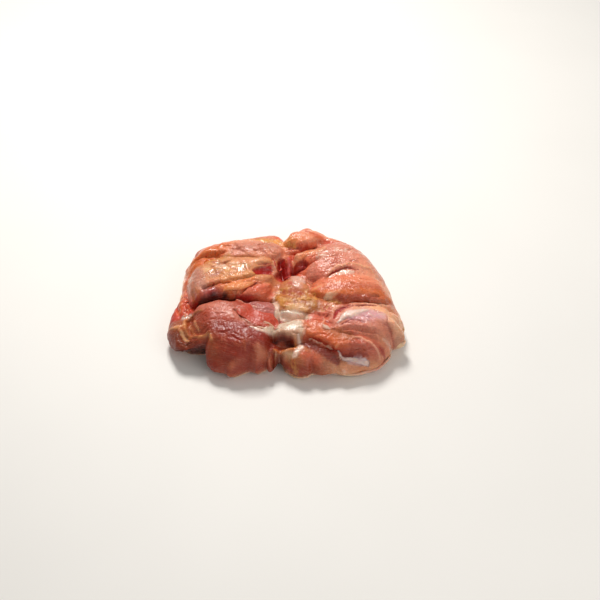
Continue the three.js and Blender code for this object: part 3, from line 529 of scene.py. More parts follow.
        "thighFoot": smear("tan", (-44, -62), (-8, -64), 5, -2, 0.7),
        "thighCorner": smear("rust", (-52, -38), (-50, -52), 6, 0, 0.8),
        "slipTop": smear("maroon", (-46, -14), (-28, -18), 4, 0, 0.5),
        "bed": smear("coral", (-46, -3), (-10, -2), 5, 1, 0.6),
        "kneeShade": smear("maroon", (14, -45), (34, -55), 4, 0, 0.9),
        "band": smear("ochre", (24, -11), (66, -13), 5, 0, 0.5),
        "kneeFoot": smear("umber", (8, -58), (34, -58), 8, 0, 0.5),
        "drumRight": smear("peach", (56, 14), (72, -2), 12, 0, 0.8),
        "foldTop": smear("peach", (6, 46), (32, 50), 8, 1, 0.7),
        "shinRight": smear("straw", (58, -22), (82, -42), 14, 0, 0.9),
        "rimPale": smear("straw", (34, -64), (76, -50), 7, -4, 0.9),
    },
}


# Small random streaks in zones: centre, spread, number, lengths, main direction in degrees and its spread,
# film, wet and tones.
mottles = {
    "sheet": dict(at=(-40, 11), spread=(13, 7), count=36, length=(4, 10), aim=(20, 40), film=0.5, wet=1,
                  tones=((236, 196, 144), (212, 136, 70), (208, 120, 98), (184, 106, 94), (238, 180, 142))),
    "strip": dict(at=(-28, 32), spread=(14, 5), count=18, length=(4, 9), aim=(8, 25), film=0.3, wet=0.9,
                  tones=((204, 126, 106), (226, 160, 130), (184, 96, 78), (236, 190, 160))),
    "corner": dict(at=(-58, 27), spread=(7, 5), count=14, length=(3, 8), aim=(20, 35), film=0.3, wet=1,
                   tones=((230, 140, 90), (200, 88, 48), (238, 188, 150))),
    "wall": dict(at=(-36, -3), spread=(14, 3), count=18, length=(3, 7), aim=(25, 40), film=0.3, wet=0.7,
                 tones=((170, 50, 44), (214, 110, 70), (228, 150, 104), (190, 70, 66))),
    "thighTop": dict(at=(-35, -27), spread=(14, 8), count=34, length=(2, 7), aim=(-35, 30), film=0.4, wet=0.4,
                     tones=((214, 146, 128), (194, 100, 78), (168, 66, 50))),
    "thighFront": dict(at=(-30, -46), spread=(14, 5), count=20, length=(3, 8), aim=(-60, 30), film=0,
                       tones=((176, 84, 54), (140, 46, 34), (190, 104, 70))),
    "drumBack": dict(at=(36, 20), spread=(14, 8), count=34, length=(3, 8), aim=(-15, 25), film=0.3, wet=0.7,
                     tones=((234, 176, 158), (212, 126, 106), (194, 96, 80))),
    "drumMid": dict(at=(42, 0), spread=(14, 5), count=26, length=(3, 9), aim=(-5, 20), film=0.2, wet=0.4,
                    tones=((238, 158, 116), (208, 102, 66), (226, 138, 88))),
    "band": dict(at=(44, -12), spread=(14, 2.5), count=16, length=(3, 8), aim=(-5, 20), film=0.2,
                 tones=((170, 64, 36), (226, 150, 104), (204, 108, 66))),
    "shin": dict(at=(54, -31), spread=(12, 6), count=26, length=(3, 8), aim=(-12, 20), film=0.4, wet=0.8,
                 tones=((220, 158, 146), (192, 104, 90), (236, 192, 172))),
    "shinLow": dict(at=(46, -47), spread=(12, 4), count=20, length=(3, 8), aim=(-15, 30), film=0.2,
                    tones=((172, 76, 56), (206, 120, 88), (228, 160, 128))),
    "kneeRight": dict(at=(24, -32), spread=(8, 5), count=22, length=(2, 6), aim=(-20, 60), film=0.3, wet=0.7,
                      tones=((192, 84, 64), (226, 150, 120), (166, 56, 42), (236, 188, 164))),
    "kneeLow": dict(at=(10, -54), spread=(10, 4), count=18, length=(2, 6), aim=(-60, 50), film=0.2,
                    tones=((206, 130, 70), (170, 74, 46), (228, 180, 138))),
    "centre": dict(at=(5, -6), spread=(9, 7), count=16, length=(3, 8), aim=(0, 80), film=0.3, wet=0.7,
                   tones=((226, 170, 96), (186, 112, 48), (160, 84, 36), (234, 190, 140))),
    "head": dict(at=(12, 26), spread=(7, 6), count=14, length=(2, 7), aim=(15, 40), film=0.3, wet=0.7,
                 tones=((238, 176, 138), (198, 86, 62), (220, 130, 96))),
    "rightRim": dict(at=(73, -24), spread=(3, 9), count=12, length=(3, 7), aim=(-80, 30), film=0.2,
                     tones=((234, 176, 130), (204, 126, 84))),
}


mottleShape = {
    "seed": 33, "jitter": 0.7, "bend": 0.25, "width": (0.06, 0.2), "raised": (-0.25, 0.5),
    "amount": (0.3, 0.75), "soft": (0.4, 0.9),
}


# each streak bends through three points round a random middle, and is a share of its length wide
def makeMottles():
    shape = mottleShape
    rng = np.random.default_rng(shape["seed"])
    made = []
    for zone in mottles.values():
        for _ in range(zone["count"]):
            middle = np.array(zone["at"]) + rng.normal(0, shape["jitter"], 2) * zone["spread"]
            angle, length = np.radians(rng.normal(*zone["aim"])), rng.uniform(*zone["length"])
            reach = np.array([np.cos(angle), np.sin(angle)]) * length / 2
            bend = np.array([-reach[1], reach[0]]) * rng.normal(0, shape["bend"])
            width, raised = length * rng.uniform(*shape["width"]), rng.uniform(*shape["raised"])
            colour = zone["tones"][rng.integers(len(zone["tones"]))]
            amount, soft = rng.uniform(*shape["amount"]), rng.uniform(*shape["soft"])
            share, line = rng.uniform(0, 1), (middle - reach, middle + bend, middle + reach)
            widths = (0.3 * width, width, 0.2 * width)
            film, wet = zone["film"] * share, zone.get("wet", 0) * share
            made.append(streak(line, widths, raised, colour, amount, soft, film, wet))
    return made


allStrokes = makeMottles() + list(flesh["strokes"].values())

# Short random splits between the fibres of each muscle, more of them on a larger one.
splits = {
    "seed": 17, "perArea": 1 / 170, "along": (0.1, 0.9), "across": (-0.42, 0.42), "turn": 0.25,
    "length": (4, 13), "depth": (0.3, 1.0), "width": (0.3, 0.6), "bow": 1.2, "lip": (0.1, 0.5),
    "lean": (0, 0.6), "blood": (0.2, 0.8),
}


def makeSplits():
    rng = np.random.default_rng(splits["seed"])
    made = []
    for muscle in flesh["muscles"].values():
        start, span = np.array(muscle["a"], float), np.subtract(muscle["b"], muscle["a"])
        length = np.hypot(*span)
        across = np.array([-span[1], span[0]]) / length
        for _ in range(int(length * muscle["width"] * splits["perArea"] * muscle["split"]) + 1):
            middle = start + rng.uniform(*splits["along"]) * span
            middle = middle + rng.uniform(*splits["across"]) * muscle["width"] * across
            angle = np.arctan2(span[1], span[0]) + rng.normal(0, splits["turn"])
            half = np.array([np.cos(angle), np.sin(angle)]) * rng.uniform(*splits["length"]) / 2
            made.append(furrow(
                tuple(middle - half), tuple(middle + half), rng.uniform(*splits["depth"]),
                rng.uniform(*splits["width"]), rng.normal(0, splits["bow"]), rng.uniform(*splits["lip"]),
                rng.uniform(*splits["lean"]), rng.uniform(*splits["blood"]),
            ))
    return made


allCreases = list(flesh["creases"].values()) + makeSplits()

# All furrows: noise that pushes them sideways as (width, strength), their unevenness, the middle and
# half-width of the lip, its film and its lean in widths of the furrow, the blood's half-width, and how far
# the step reaches.
furrowShape = {
    "wander": ((7, 0.9), (2.5, 0.35)), "least": 0.85, "uneven": 0.3, "unevenWidth": 9,
    "lip": (2.2, 1.4), "film": (1.9, 0.9), "lean": (1.3, 1.5), "blood": 1.3, "stepReach": 7,
}


# strength of a smear at a point: distance to its line over its width, falling smoothly
def smearStrength(line, x, y):
    share, inside, offset, length = beside(line, x, y)
    return line["amount"] * bell(np.hypot(offset, (share - inside) * length) / line["width"])


# strength from 0 to 1 of a painted streak at a point: distance to the bent line over the width there, eased
def strokeStrength(stroke, x, y):
    points = np.array(stroke["line"], float)
    spans = np.diff(points, axis=0)
    lengths = np.hypot(*spans.T)
    distance, share = np.full(x.shape, 1e9), np.zeros(x.shape)
    for index, (start, span, length) in enumerate(zip(points, spans, lengths)):
        along = np.clip(((x - start[0]) * span[0] + (y - start[1]) * span[1]) / length**2, 0, 1)
        gap = np.hypot(x - start[0] - along * span[0], y - start[1] - along * span[1])
        share = np.where(gap < distance, (lengths[:index].sum() + along * length) / lengths.sum(), share)
        distance = np.minimum(gap, distance)
    soft = stroke["soft"]
    return 1 - smoothStep(distance / np.interp(share, (0, 0.5, 1), stroke["width"]), 1 - soft, 1 + soft)


# Height of the meat's top at a point, how far furrows pull it sideways, and what it looks like there: the
# softened highest of all pillows and the bed, less the furrows and dents, plus the beds of the streaks.
def fleshTop(x, y):
    bentX, bentY = wandered(x, y, flesh["muscleWander"], 11)
    heights, alongs, acrosses, edges = [], [], [], []
    for muscle in flesh["muscles"].values():
        share, inside, offset, length = beside(muscle, bentX, bentY)
        side = np.abs(2 * offset / muscle["width"]) ** flesh["sideBlunt"]
        edge = np.abs(2 * share - 1) ** muscle["blunt"] + side
        slope = muscle["crest"][0] + (muscle["crest"][1] - muscle["crest"][0]) * inside
        middle = slope + muscle["rise"] * 4 * inside * (1 - inside) - muscle["depth"] / 2
        pillow = middle + muscle["depth"] / 2 * np.clip(1 - edge, 0, 1) ** flesh["crown"]
        heights.append(np.where(edge < 1, pillow, middle - flesh["fallAway"] * (np.minimum(edge, 4) - 1)))
        alongs.append(share * length)
        acrosses.append(offset)
        edges.append(edge)
    heights, bed, soft = np.array(heights), flesh["bed"], flesh["softness"]
    beyond = np.maximum(np.abs(x) - bed["side"], 0)
    fill = np.clip(bed["height"] + bed["rise"] * (y - bed["front"]) - bed["fall"] * beyond, *bed["limits"])
    highest = np.maximum(heights.max(0), fill)
    total = np.exp((heights - highest) / soft).sum(0) + np.exp((fill - highest) / soft)
    height = highest + soft * np.log(total) + flesh["unevenness"] * clouds(x, y, 20, 21)
    weights = np.exp((heights - heights.max(0)) / flesh["toneSoftness"])
    weights /= weights.sum(0)
    colours = np.array([linear(tones[muscle["tone"]]) for muscle in flesh["muscles"].values()])
    first = heights.argmax(0)
    along = np.take_along_axis(np.array(alongs), first[None], 0)[0]
    across = np.take_along_axis(np.array(acrosses), first[None], 0)[0]
    flankShadeShare = smoothStep(np.take_along_axis(np.array(edges), first[None], 0)[0], 0.3, 1.1)[..., None]
    height = height + flesh["grooves"] * clouds(across / 6, along / 16, 1, 23)
    height = height + flesh["dimples"] * clouds(x, y, 6, 27)
    blood = np.zeros_like(height)
    shiftX, shiftY = np.zeros_like(height), np.zeros_like(height)
    lip = np.zeros_like(height)
    shape = furrowShape
    for seed, crease in enumerate(allCreases):
        share, inside, offset, length = beside(crease, x, y)
        run, level, width = share * length, 0 * share, crease["width"]
        for wide, strength in shape["wander"]:
            offset = offset + strength * cloud(run / wide, level, seed)
        fade = np.sqrt(np.sin(np.pi * inside)) * (share > 0) * (share < 1)
        fade = fade * (shape["least"] + shape["uneven"] * cloud(run / shape["unevenWidth"], level, seed + 40))
        floorSpread = width * np.where(offset < 0, crease["near"], 1)
        lipBell, filmBell, leanBell = (
            bell((offset - at * width) / (wide * width))
            for at, wide in (shape["lip"], shape["film"], shape["lean"])
        )
        height = height - crease["depth"] * fade * bell(offset / floorSpread)
        step = crease["step"] * fade * smoothStep(offset, -0.3, 0.5)
        height = height + step * np.exp(-np.maximum(offset, 0) / shape["stepReach"])
        height = height + crease["lip"] * fade * lipBell
        lip = np.maximum(lip, crease["lip"] * fade * filmBell)
        pull = crease["lean"] * fade * leanBell
        shiftX = shiftX + (crease["b"][1] - crease["a"][1]) / length * pull
        shiftY = shiftY - (crease["b"][0] - crease["a"][0]) / length * pull
        # blood along each furrow, which partly paints shade into it
        blood = np.maximum(blood, crease["blood"] * fade * bell(offset / (shape["blood"] * floorSpread)))
    for dent in flesh["dents"].values():
        (atX, atY), (wide, deep) = dent["at"], dent["size"]
        reach = ((bentX - atX) / wide) ** 2 + ((bentY - atY) / deep) ** 2
        height = height - dent["depth"] * np.exp(-(reach**1.5))
        blood = np.maximum(blood, dent["blood"] * np.exp(-(reach**2.5)))
    marks = {kind: 0 * blood for kind in ("yellow", "orange")}
    marks.update(blood=blood, film=flesh["lipFilm"] * np.clip(lip, 0, 1))
    wetness = flesh["wetness"]
    wet = wetness["least"] + wetness["patchy"] * clouds(x, y, wetness["width"], 97)
    marks["wet"] = np.clip(wet, 0, wetness["most"]) * smoothStep(y, *wetness["fade"])
    for patch in flesh["patches"].values():
        marks[patch["kind"]] = np.maximum(marks[patch["kind"]], smearStrength(patch, bentX, bentY))
    # the muscles' tones blended, with painted shade darkening each pillow's flanks
    tone = np.einsum("k...,kc->...c", weights, colours) * (1 - flankShadeShare * np.array(flesh["flankShade"]))
    for wash in flesh["washes"].values():
        strength = smearStrength(wash, bentX, bentY)[..., None]
        tone = tone * (1 - strength) + np.array(linear(tones[wash["kind"]])) * strength
    wanderX, wanderY = wandered(x, y, flesh["streakWander"], 91)
    for stroke in allStrokes:
        strength = strokeStrength(stroke, wanderX, wanderY)
        height = height + stroke["raised"] * strength
        mixed = (stroke["amount"] * strength)[..., None]
        tone = tone * (1 - mixed) + np.array(linear(stroke["tone"])) * mixed
        marks["yellow"] = marks["yellow"] * (1 - 0.6 * mixed[..., 0])
        for kind in ("film", "blood", "wet"):
            marks[kind] = marks[kind] * (1 - 0.8 * mixed[..., 0]) + stroke[kind] * strength
    return {
        "height": np.maximum(height, 3), "shiftX": shiftX, "shiftY": shiftY, "along": along, "across": across,
        "tone": tone, "marks": marks,
    }


# height of the widest line of the rim at an angle
def rimLevel(angle):
    return flesh["rimHeight"] + bumpsAt("lifts", angle)


# sum of rounded bumps round the outline at an angle
def bumpsAt(name, angle):
    degrees, bumps = np.degrees(angle), outline[name]
    return sum(size * bell(((degrees - centre + 540) % 360 - 180) / spread) for centre, size, spread in bumps)


# how wide a strip of the top the rim takes up at an angle
def rimWidth(angle):
    return flesh["rimWidth"] - bumpsAt("sharper", angle)


# share of the flesh's height that is left as the rim rolls down towards the outline
def rimFade(x, y):
    angle = np.arctan2(y, x)
    inset = np.clip((np.hypot(x, y) - outlineRadius(angle)) / rimWidth(angle) + 1, 0, 1)
    return np.cos(np.arcsin(inset)) ** flesh["rimRoundness"]


# height of the finished top at a point, the rim's fall included
def topHeight(x, y):
    level = rimLevel(np.arctan2(y, x))
    return level + (fleshTop(x, y)["height"] - level) * rimFade(x, y)


# unit normals of a grid of points, from the cross product of its two directions
def gridNormals(points):
    normals = np.cross(np.gradient(points, axis=1), np.gradient(points, axis=0))
    return normals / np.maximum(np.linalg.norm(normals, axis=-1, keepdims=True), 1e-9)


# radius and height of the rim for a turn from 0 (top) through 90 (widest line) to 180 degrees (foot)
def rimProfile(turn, angle, edge, topHeights):
    under = turn > np.pi / 2
    upper = edge - rimWidth(angle) * (1 - np.sin(np.minimum(turn, np.pi / 2)))
    lower = edge - flesh["footInset"] * (1 - np.sin(turn))
    lower = lower - bumpsAt("undercuts", angle) * smoothStep(turn, 1.5, 2.1)
    fade = np.cos(np.minimum(turn, np.pi / 2)) ** flesh["rimRoundness"]
    level = rimLevel(angle)
    low = flesh["clearOfFloor"] + (level - flesh["clearOfFloor"]) * (1 + np.cos(turn))
    return np.where(under, lower, upper), np.where(under, low, level + (topHeights - level) * fade), fade


# a smooth-shaded object at the origin from points in drawing millimetres
def makeMesh(name, points, faces):
    mesh = bpy.data.meshes.new(name)
    mesh.from_pydata(toFrame(points).reshape(-1, 3).tolist(), [], faces)
    mesh.polygons.foreach_set("use_smooth", [True] * len(mesh.polygons))
    piece = bpy.data.objects.new(name, mesh)
    bpy.context.scene.collection.objects.link(piece)
    return piece


# Per-point colour, marks (red yellow, green film, blue blood), stain (red orange, green wet) and place along
# and across the grain in metres.
def paint(piece, tone, marks, along, across):
    count = len(piece.data.vertices)
    layers = {"tone": [np.broadcast_to(tone, (count, 3))]}
    for name, kinds in (("marks", ("yellow", "film", "blood")), ("stain", ("orange", "wet", "wet"))):
        layers[name] = [np.broadcast_to(marks[kind], count) for kind in kinds]
    for name, values in layers.items():
        values = np.column_stack(values + [np.ones(count)])
        attribute = piece.data.color_attributes.new(name, "FLOAT_COLOR", "POINT")
        attribute.data.foreach_set("color", values.astype(np.float32).ravel())
    grain = np.column_stack([along, across, np.zeros(count)]) * 0.001
    attribute = piece.data.attributes.new("grain", "FLOAT_VECTOR", "POINT")
    attribute.data.foreach_set("vector", grain.astype(np.float32).ravel())


# four-sided faces of a grid of points
def gridFaces(rows, columns):
    corner = (np.arange(rows - 1)[:, None] * columns + np.arange(columns - 1)).ravel()
    return np.column_stack([corner, corner + 1, corner + columns + 1, corner + columns]).tolist()


# The meat: a square grid laid on a disc, its middle the top and its outer ring the rolled rim, closed with a
# fan of faces below, and moved along its normals by fibres, grit and folds.
def buildFlesh():
    u = np.linspace(-1, 1, flesh["gridAcross"] + 1)[None, :]
    v = np.linspace(-1, 1, flesh["gridDeep"] + 1)[:, None]
    discX, discY = u * np.sqrt(1 - v * v / 2), v * np.sqrt(1 - u * u / 2)
    reach = np.minimum(np.hypot(discX, discY), 1)
    angle = np.arctan2(discY, discX)
    edge = outlineRadius(angle)
    turn = np.clip((reach - flesh["flatShare"]) / (1 - flesh["flatShare"]), 0, 1) * np.pi
    flat = reach / flesh["flatShare"] * (edge - rimWidth(angle))
    ringRadius = rimProfile(turn, angle, edge, 0)[0]
    radius = np.where(turn > 0, ringRadius, flat)
    x, y = radius * np.cos(angle), radius * np.sin(angle)
    top = fleshTop(x, y)
    height, fade = rimProfile(turn, angle, edge, top["height"])[1:]
    fade = np.where(turn > np.pi / 2, 0, fade)
    points = np.stack([x + top["shiftX"] * fade, y + top["shiftY"] * fade, height], -1)
    wall = smoothStep(turn, 0.5, 1.3)
    girth = angle * 60
    large, small = flesh["wallFolds"]
    folds = large * clouds(girth, 0.6 * height, 9, 31) + small * cloud(girth / 3, height / 12, 34)
    folds = wall * np.sin(turn) * folds
    along, across = top["along"], top["across"] + 0.8 * height
    bundles = flesh["bundles"] * cloud(across / 3.4 + 0.7 * cloud(along / 9, across / 6, 41), along / 24, 42)
    fibres = flesh["fibres"] * cloud(across / 1.3 + 0.6 * cloud(along / 6, across / 4, 43), along / 11, 44)
    fatty = np.clip(top["marks"]["yellow"] + 0.6 * top["marks"]["film"], 0, 1)
    grit = flesh["fatGrit"] * fatty * clouds(x, y, 6, 45) + flesh["fineGrit"] * clouds(x, y, 2.2, 48)
    sag = smoothStep(height, flesh["clearOfFloor"], flesh["clearOfFloor"] + 2)
    relief = (bundles + fibres) * (1 - 0.5 * fatty) + grit + folds
    points = points + gridNormals(points) * relief[..., None] * sag[..., None]
    rows, columns = points.shape[:2]
    index = np.arange(rows * columns).reshape(rows, columns)
    ring = np.concatenate([index[0, :-1], index[:-1, -1], index[-1, :0:-1], index[:0:-1, 0]])
    fan = np.column_stack([np.roll(ring, -1), ring, np.full(len(ring), rows * columns)]).tolist()
    points = np.vstack([points.reshape(-1, 3), [[0, 0, flesh["clearOfFloor"]]]])
    piece = makeMesh("flesh", points, gridFaces(rows, columns) + fan)
    # painted shade on the wall's front, partly its own deeper red: the tone goes towards maroon, less to the
    # right and near the floor
    shade = flesh["wallShade"] * wall * smoothStep(-np.sin(angle), -0.1, 0.6)
    shade = shade * (1 - flesh["wallShadeRight"] * smoothStep(np.cos(angle), 0.1, 0.5))
    deep = np.array(linear(tones["maroon"]))
    shade = shade * smoothStep(height, 2, 10)
    tone = top["tone"] * (1 - shade[..., None]) + deep * shade[..., None]
    # painted shade where the rim rolls down and under, from the outline's shaded table
    tone = tone * (1 - bumpsAt("shaded", angle) * smoothStep(turn, 0.8, 1.5))[..., None]
    tone = np.vstack([tone.reshape(-1, 3), [deep]])
    marks = {kind: np.append(values.ravel(), 0) for kind, values in top["marks"].items()}
    paint(piece, tone, marks, np.append(along.ravel(), 0), np.append(across.ravel(), 0))
    return piece


# Ropes: rounds of smoothing of the line, how far apart the noise of two ropes is read, how gradually the
# tone beneath gives way round the section, and between which sizes of the section it does so at the ends.
ropeShape = {"smoothing": 6, "apart": 13.7, "meltWidth": 0.7, "meltEnds": (0.06, 0.3)}


# Tapering ropes of oval section that lie on the meat: small muscles, tendons, gristle, fat and torn threads.
# Each follows a bowed line over the top. Its section is an oval, widest at mid length, times noise, and it
# takes the tone beneath it at its foot and ends. Ropes of one piece are made together.
def buildRopes(name, ropes, rings=36, sides=22, seed=7):
    a, b = np.array(ropes["a"], float).reshape(-1, 2), np.array(ropes["b"], float).reshape(-1, 2)
    count = len(a)
    keys = ("width", "thick", "bow", "lift", "taper", "rough")
    width, thick, bow, lift, taper, rough = (
        np.broadcast_to(np.array(ropes[key], float), count)[:, None] for key in keys
    )
    share = (1 - np.cos(np.linspace(0, np.pi, rings + 1))) / 2
    span = b - a
    length = np.linalg.norm(span, axis=1)[:, None]
    sideways = np.column_stack([-span[:, 1], span[:, 0]]) / length
    middle = a[:, None] + share[None, :, None] * span[:, None]
    middle = middle + (4 * share * (1 - share) * bow)[..., None] * sideways[:, None]
    height = topHeight(middle[..., 0], middle[..., 1])
    for _ in range(ropeShape["smoothing"]):
        height[:, 1:-1] = (height[:, :-2] + height[:, 1:-1] + height[:, 2:]) / 3
    line = np.concatenate([middle, (height + lift)[..., None]], -1)
    forward = np.gradient(line, axis=1)
    forward /= np.maximum(np.linalg.norm(forward, axis=-1, keepdims=True), 1e-9)
    side = np.cross([0, 0, 1.0], forward)
    side /= np.maximum(np.linalg.norm(side, axis=-1, keepdims=True), 1e-9)
    up = np.cross(forward, side)
    angle = np.linspace(0, 2 * np.pi, sides, endpoint=False)
    size = np.clip(4 * share * (1 - share), 0, 1) ** taper / 2
    which = np.arange(count)[:, None, None] * ropeShape["apart"]
    along = share[None, :, None] * length[..., None]
    lumps = 1 + rough[..., None] * clouds(along + which, 6 * np.cos(angle) + which, 5, seed)
    lumps = lumps + 0.5 * rough[..., None] * cloud(along / 7, 9 * angle / np.pi + which + 0 * along, seed + 5)
    spread = size[..., None] * lumps
    points = line[:, :, None] + (spread * width[..., None] * np.cos(angle))[..., None] * side[:, :, None]
    points = points + (spread * thick[..., None] * np.sin(angle))[..., None] * up[:, :, None]
    start = (np.arange(count) * (rings + 1) * sides)[:, None, None]
    near = start + (np.arange(rings) * sides)[None, :, None] + np.arange(sides)
    far = start + (np.arange(rings) * sides)[None, :, None] + (np.arange(sides) + 1) % sides
    faces = np.stack([near, far, far + sides, near + sides], -1).reshape(-1, 4).tolist()
    piece = makeMesh(name, points, faces)
    shape = (count, rings + 1, sides)
    colours = ropes["tone"] if isinstance(ropes["tone"], list) else [ropes["tone"]]
    tone = np.array([linear(colour) for colour in colours])
    tone = np.broadcast_to(tone[:, None, None], shape + (3,)).reshape(-1, 3)
    across = np.broadcast_to(angle * width[..., None] / 2 + which, shape).ravel()
    beneath = fleshTop(points[..., 0].ravel(), points[..., 1].ravel())
    melt = ropes.get("melt", -0.2)
    cover = smoothStep(np.sin(angle), melt, melt + ropeShape["meltWidth"])
    cover = cover * smoothStep(size, *ropeShape["meltEnds"])[..., None]
    cover = np.broadcast_to(cover, shape).ravel()
    tone = tone * cover[:, None] + beneath["tone"] * (1 - cover[:, None])
    marks = {}
    for kind, under in beneath["marks"].items():
        marks[kind] = float(ropes.get(kind, 0)) * cover + under * (1 - cover)
    paint(piece, tone, marks, np.broadcast_to(along + which, shape).ravel(), across)
    return piece


# small muscles and white parts: melt is how high round the section the tone beneath reaches, from -1 to 1
smallMuscles = {
    "kneeSlip": dict(a=(-37, -20.5), b=(-2, -37), width=13.5, thick=2.2, bow=1.6, lift=-0.3, taper=1.0,
                     rough=0.5, tone=(192, 72, 48), melt=-0.4),
    "amberLobe": dict(a=(-47, -6), b=(-20, 2.5), width=8, thick=4.5, bow=-1.2, lift=-0.9, taper=1.1,
                      rough=0.12, tone=(226, 142, 84), yellow=0.1, melt=-0.1),
}
whiteParts = {
    "gristleBack": dict(a=(3, 10), b=(12, 1), width=9, thick=3, bow=0, lift=-1.0, taper=0.6,
                        rough=0.4, tone=(222, 176, 158), film=0.2, melt=0),
    "tendonDown": dict(a=(10.6, -42.5), b=(6, -53), width=3.4, thick=1.8, bow=1.8, lift=-1.2, taper=0.6,
                       rough=0.7, tone=(220, 190, 166), film=0.2, melt=0.1),
}
# scattered lumps of fat: centre, spread, number, size from and to, tone
fatLobules = {
    "back": dict(at=(-12, 43), spread=(9, 1.6), count=8, size=(5, 9), tone=(214, 140, 72)),
    "left": dict(at=(-69, -10), spread=(6, 9), count=16, size=(2, 4.5), tone=(204, 82, 48)),
    "leftPale": dict(at=(-69, -12), spread=(6, 9), count=6, size=(2, 4.5), tone=(212, 112, 78)),
}
# torn threads: centre, spread, number, length from and to, main direction in degrees and its spread, tone
tornThreads = {
    "leftEdge": dict(at=(-68, -9), spread=(4, 9), count=24, length=(2, 5), aim=(250, 40), tone=(206, 80, 50)),
    "leftPale": dict(
        at=(-68, -14), spread=(4, 7), count=10, length=(3, 6), aim=(240, 40), tone=(214, 124, 88),
    ),
    "centre": dict(at=(14, 5), spread=(4, 5), count=18, length=(4, 9), aim=(310, 30), tone=(212, 124, 92)),
    "knee": dict(at=(-14, -37), spread=(6, 3), count=5, length=(6, 10), aim=(345, 14), tone=(224, 180, 152)),
    "blood": dict(at=(-3, 20), spread=(8, 4), count=4, length=(4, 8), aim=(300, 50), tone=(190, 62, 50)),
    "heel": dict(at=(29, -20), spread=(3, 4), count=8, length=(4, 8), aim=(20, 40), tone=(206, 96, 70)),
}


# starts, ends, lengths and tones of random short ropes in each zone, all kept inside the outline
def scatter(zones, seed, lengthKey):
    rng = np.random.default_rng(seed)
    starts, ends, sizes, colours = [], [], [], []
    for zone in zones.values():
        count = zone["count"]
        middle = np.array(zone["at"]) + rng.normal(0, 0.6, (count, 2)) * zone["spread"]
        aim, spread = zone.get("aim", (0, 180))
        angle = np.radians(rng.normal(aim, spread, count))
        length = rng.uniform(*zone[lengthKey], count)
        reach = np.column_stack([np.cos(angle), np.sin(angle)]) * length[:, None] / 2
        room = outlineRadius(np.arctan2(middle[:, 1], middle[:, 0])) - 2.5 - length / 2
        middle = middle * np.minimum(1, room / np.hypot(*middle.T))[:, None]
        starts.append(middle - reach)
        ends.append(middle + reach)
        sizes.append(length)
        colours += [np.clip(np.array(zone["tone"]) * rng.uniform(0.9, 1.1), 0, 255) for _ in range(count)]
    return np.vstack(starts), np.vstack(ends), np.concatenate(sizes), colours, rng


# The skin under the meat: a thick sheet that comes up round the rim and ends in a wavy lip. The turn of the
# lip is given round the outline as (degrees, degrees down from the top).
skin = {
    "thick": 1.5, "anglesRound": 620, "stepsUp": 46, "waves": 7, "frill": 1.3, "wrinkles": 0.35,
    "lipTurn": (
        (0, 84), (30, 78), (60, 80), (90, 86), (120, 84), (150, 82), (180, 98), (196, 110), (205, 160),
        (225, 160), (245, 150), (265, 150), (285, 130), (305, 122), (330, 104),
    ),
}


# Steps up cross the flat underside (to 0.3), climb the rim's own profile (to 0.9), then roll over at the lip;
# the skin stands off that profile by its thickness, a frill near the lip and wrinkles.
def buildSkin():
    angle = np.linspace(0, 2 * np.pi, skin["anglesRound"], endpoint=False)[None, :]
    edge = outlineRadius(angle)
    stops = np.array(skin["lipTurn"], float)
    lip = np.interp(np.degrees(angle), np.append(stops[:, 0], 360), np.append(stops[:, 1], stops[0, 1]))
    girth = angle * 60
    roundX, roundY = 9 * np.cos(angle), 9 * np.sin(angle)
    lip = np.radians(lip + skin["waves"] * clouds(roundX, roundY, 2.2, 61))
    up = np.linspace(0, 1, skin["stepsUp"])[:, None]
    turn = np.pi - (np.pi - lip) * np.clip((up - 0.3) / 0.6, 0, 1)
    x, y = edge * np.cos(angle), edge * np.sin(angle)
    inner = edge - rimWidth(angle) * (1 - np.sin(np.minimum(turn, np.pi / 2)))
    top = fleshTop(inner * np.cos(angle), inner * np.sin(angle))["height"]
    radius, height, _ = rimProfile(turn, angle, edge, top)
    lean = np.clip((up - 0.9) / 0.1, 0, 1) * np.pi
    stand = skin["thick"] * np.where(up < 0.9, smoothStep(up, 0.2, 0.45), (1 + 1.6 * np.cos(lean)) / 2.6)
    crest = np.sin(lean) * skin["thick"] * 0.55
    frill = smoothStep(up, 0.62, 0.9) * (skin["frill"] * np.clip(clouds(roundX, roundY, 0.9, 65), -0.3, 1))
    wrinkle = skin["wrinkles"] * clouds(girth, up * 60, 7, 68) * smoothStep(up, 0.35, 0.5)
    outward = stand + np.where(lean < np.pi, frill, 0) * (lean < 2.2) + wrinkle
    tilt = np.sin(turn)
    foot = (edge - flesh["footInset"] - bumpsAt("undercuts", angle)) * up / 0.3
    radius = np.where(up < 0.3, foot, radius + outward * np.maximum(tilt, 0.25))
    base = flesh["clearOfFloor"] * smoothStep(up, 0.3, 0.55)
    height = height - flesh["clearOfFloor"] + base + crest * np.sin(lip) + outward * 0.4 * np.cos(turn)
    height = np.where(up < 0.3, 0, height)
    x, y = radius * np.cos(angle) + 0 * up, radius * np.sin(angle) + 0 * up
    points = np.stack([x, y, np.maximum(height, 0)], -1)
    rows, columns = points.shape[:2]
    low = (np.arange(rows - 1)[:, None] * columns + np.arange(columns)).ravel()
    high = (np.arange(rows - 1)[:, None] * columns + (np.arange(columns) + 1) % columns).ravel()
    return makeMesh("skin", points, np.column_stack([low, low + columns, high + columns, high]).tolist())


# a shader node with its settings, and its sockets wired or set
def addNode(tree, kind, wires=None, **settings):
    node = tree.nodes.new("ShaderNode" + kind)
    for name, value in settings.items():
        setattr(node, name, value)
    for name, value in (wires or {}).items():
        if isinstance(value, bpy.types.NodeSocket):
            tree.links.new(value, node.inputs[name])
        else:
            node.inputs[name].default_value = value
    return node


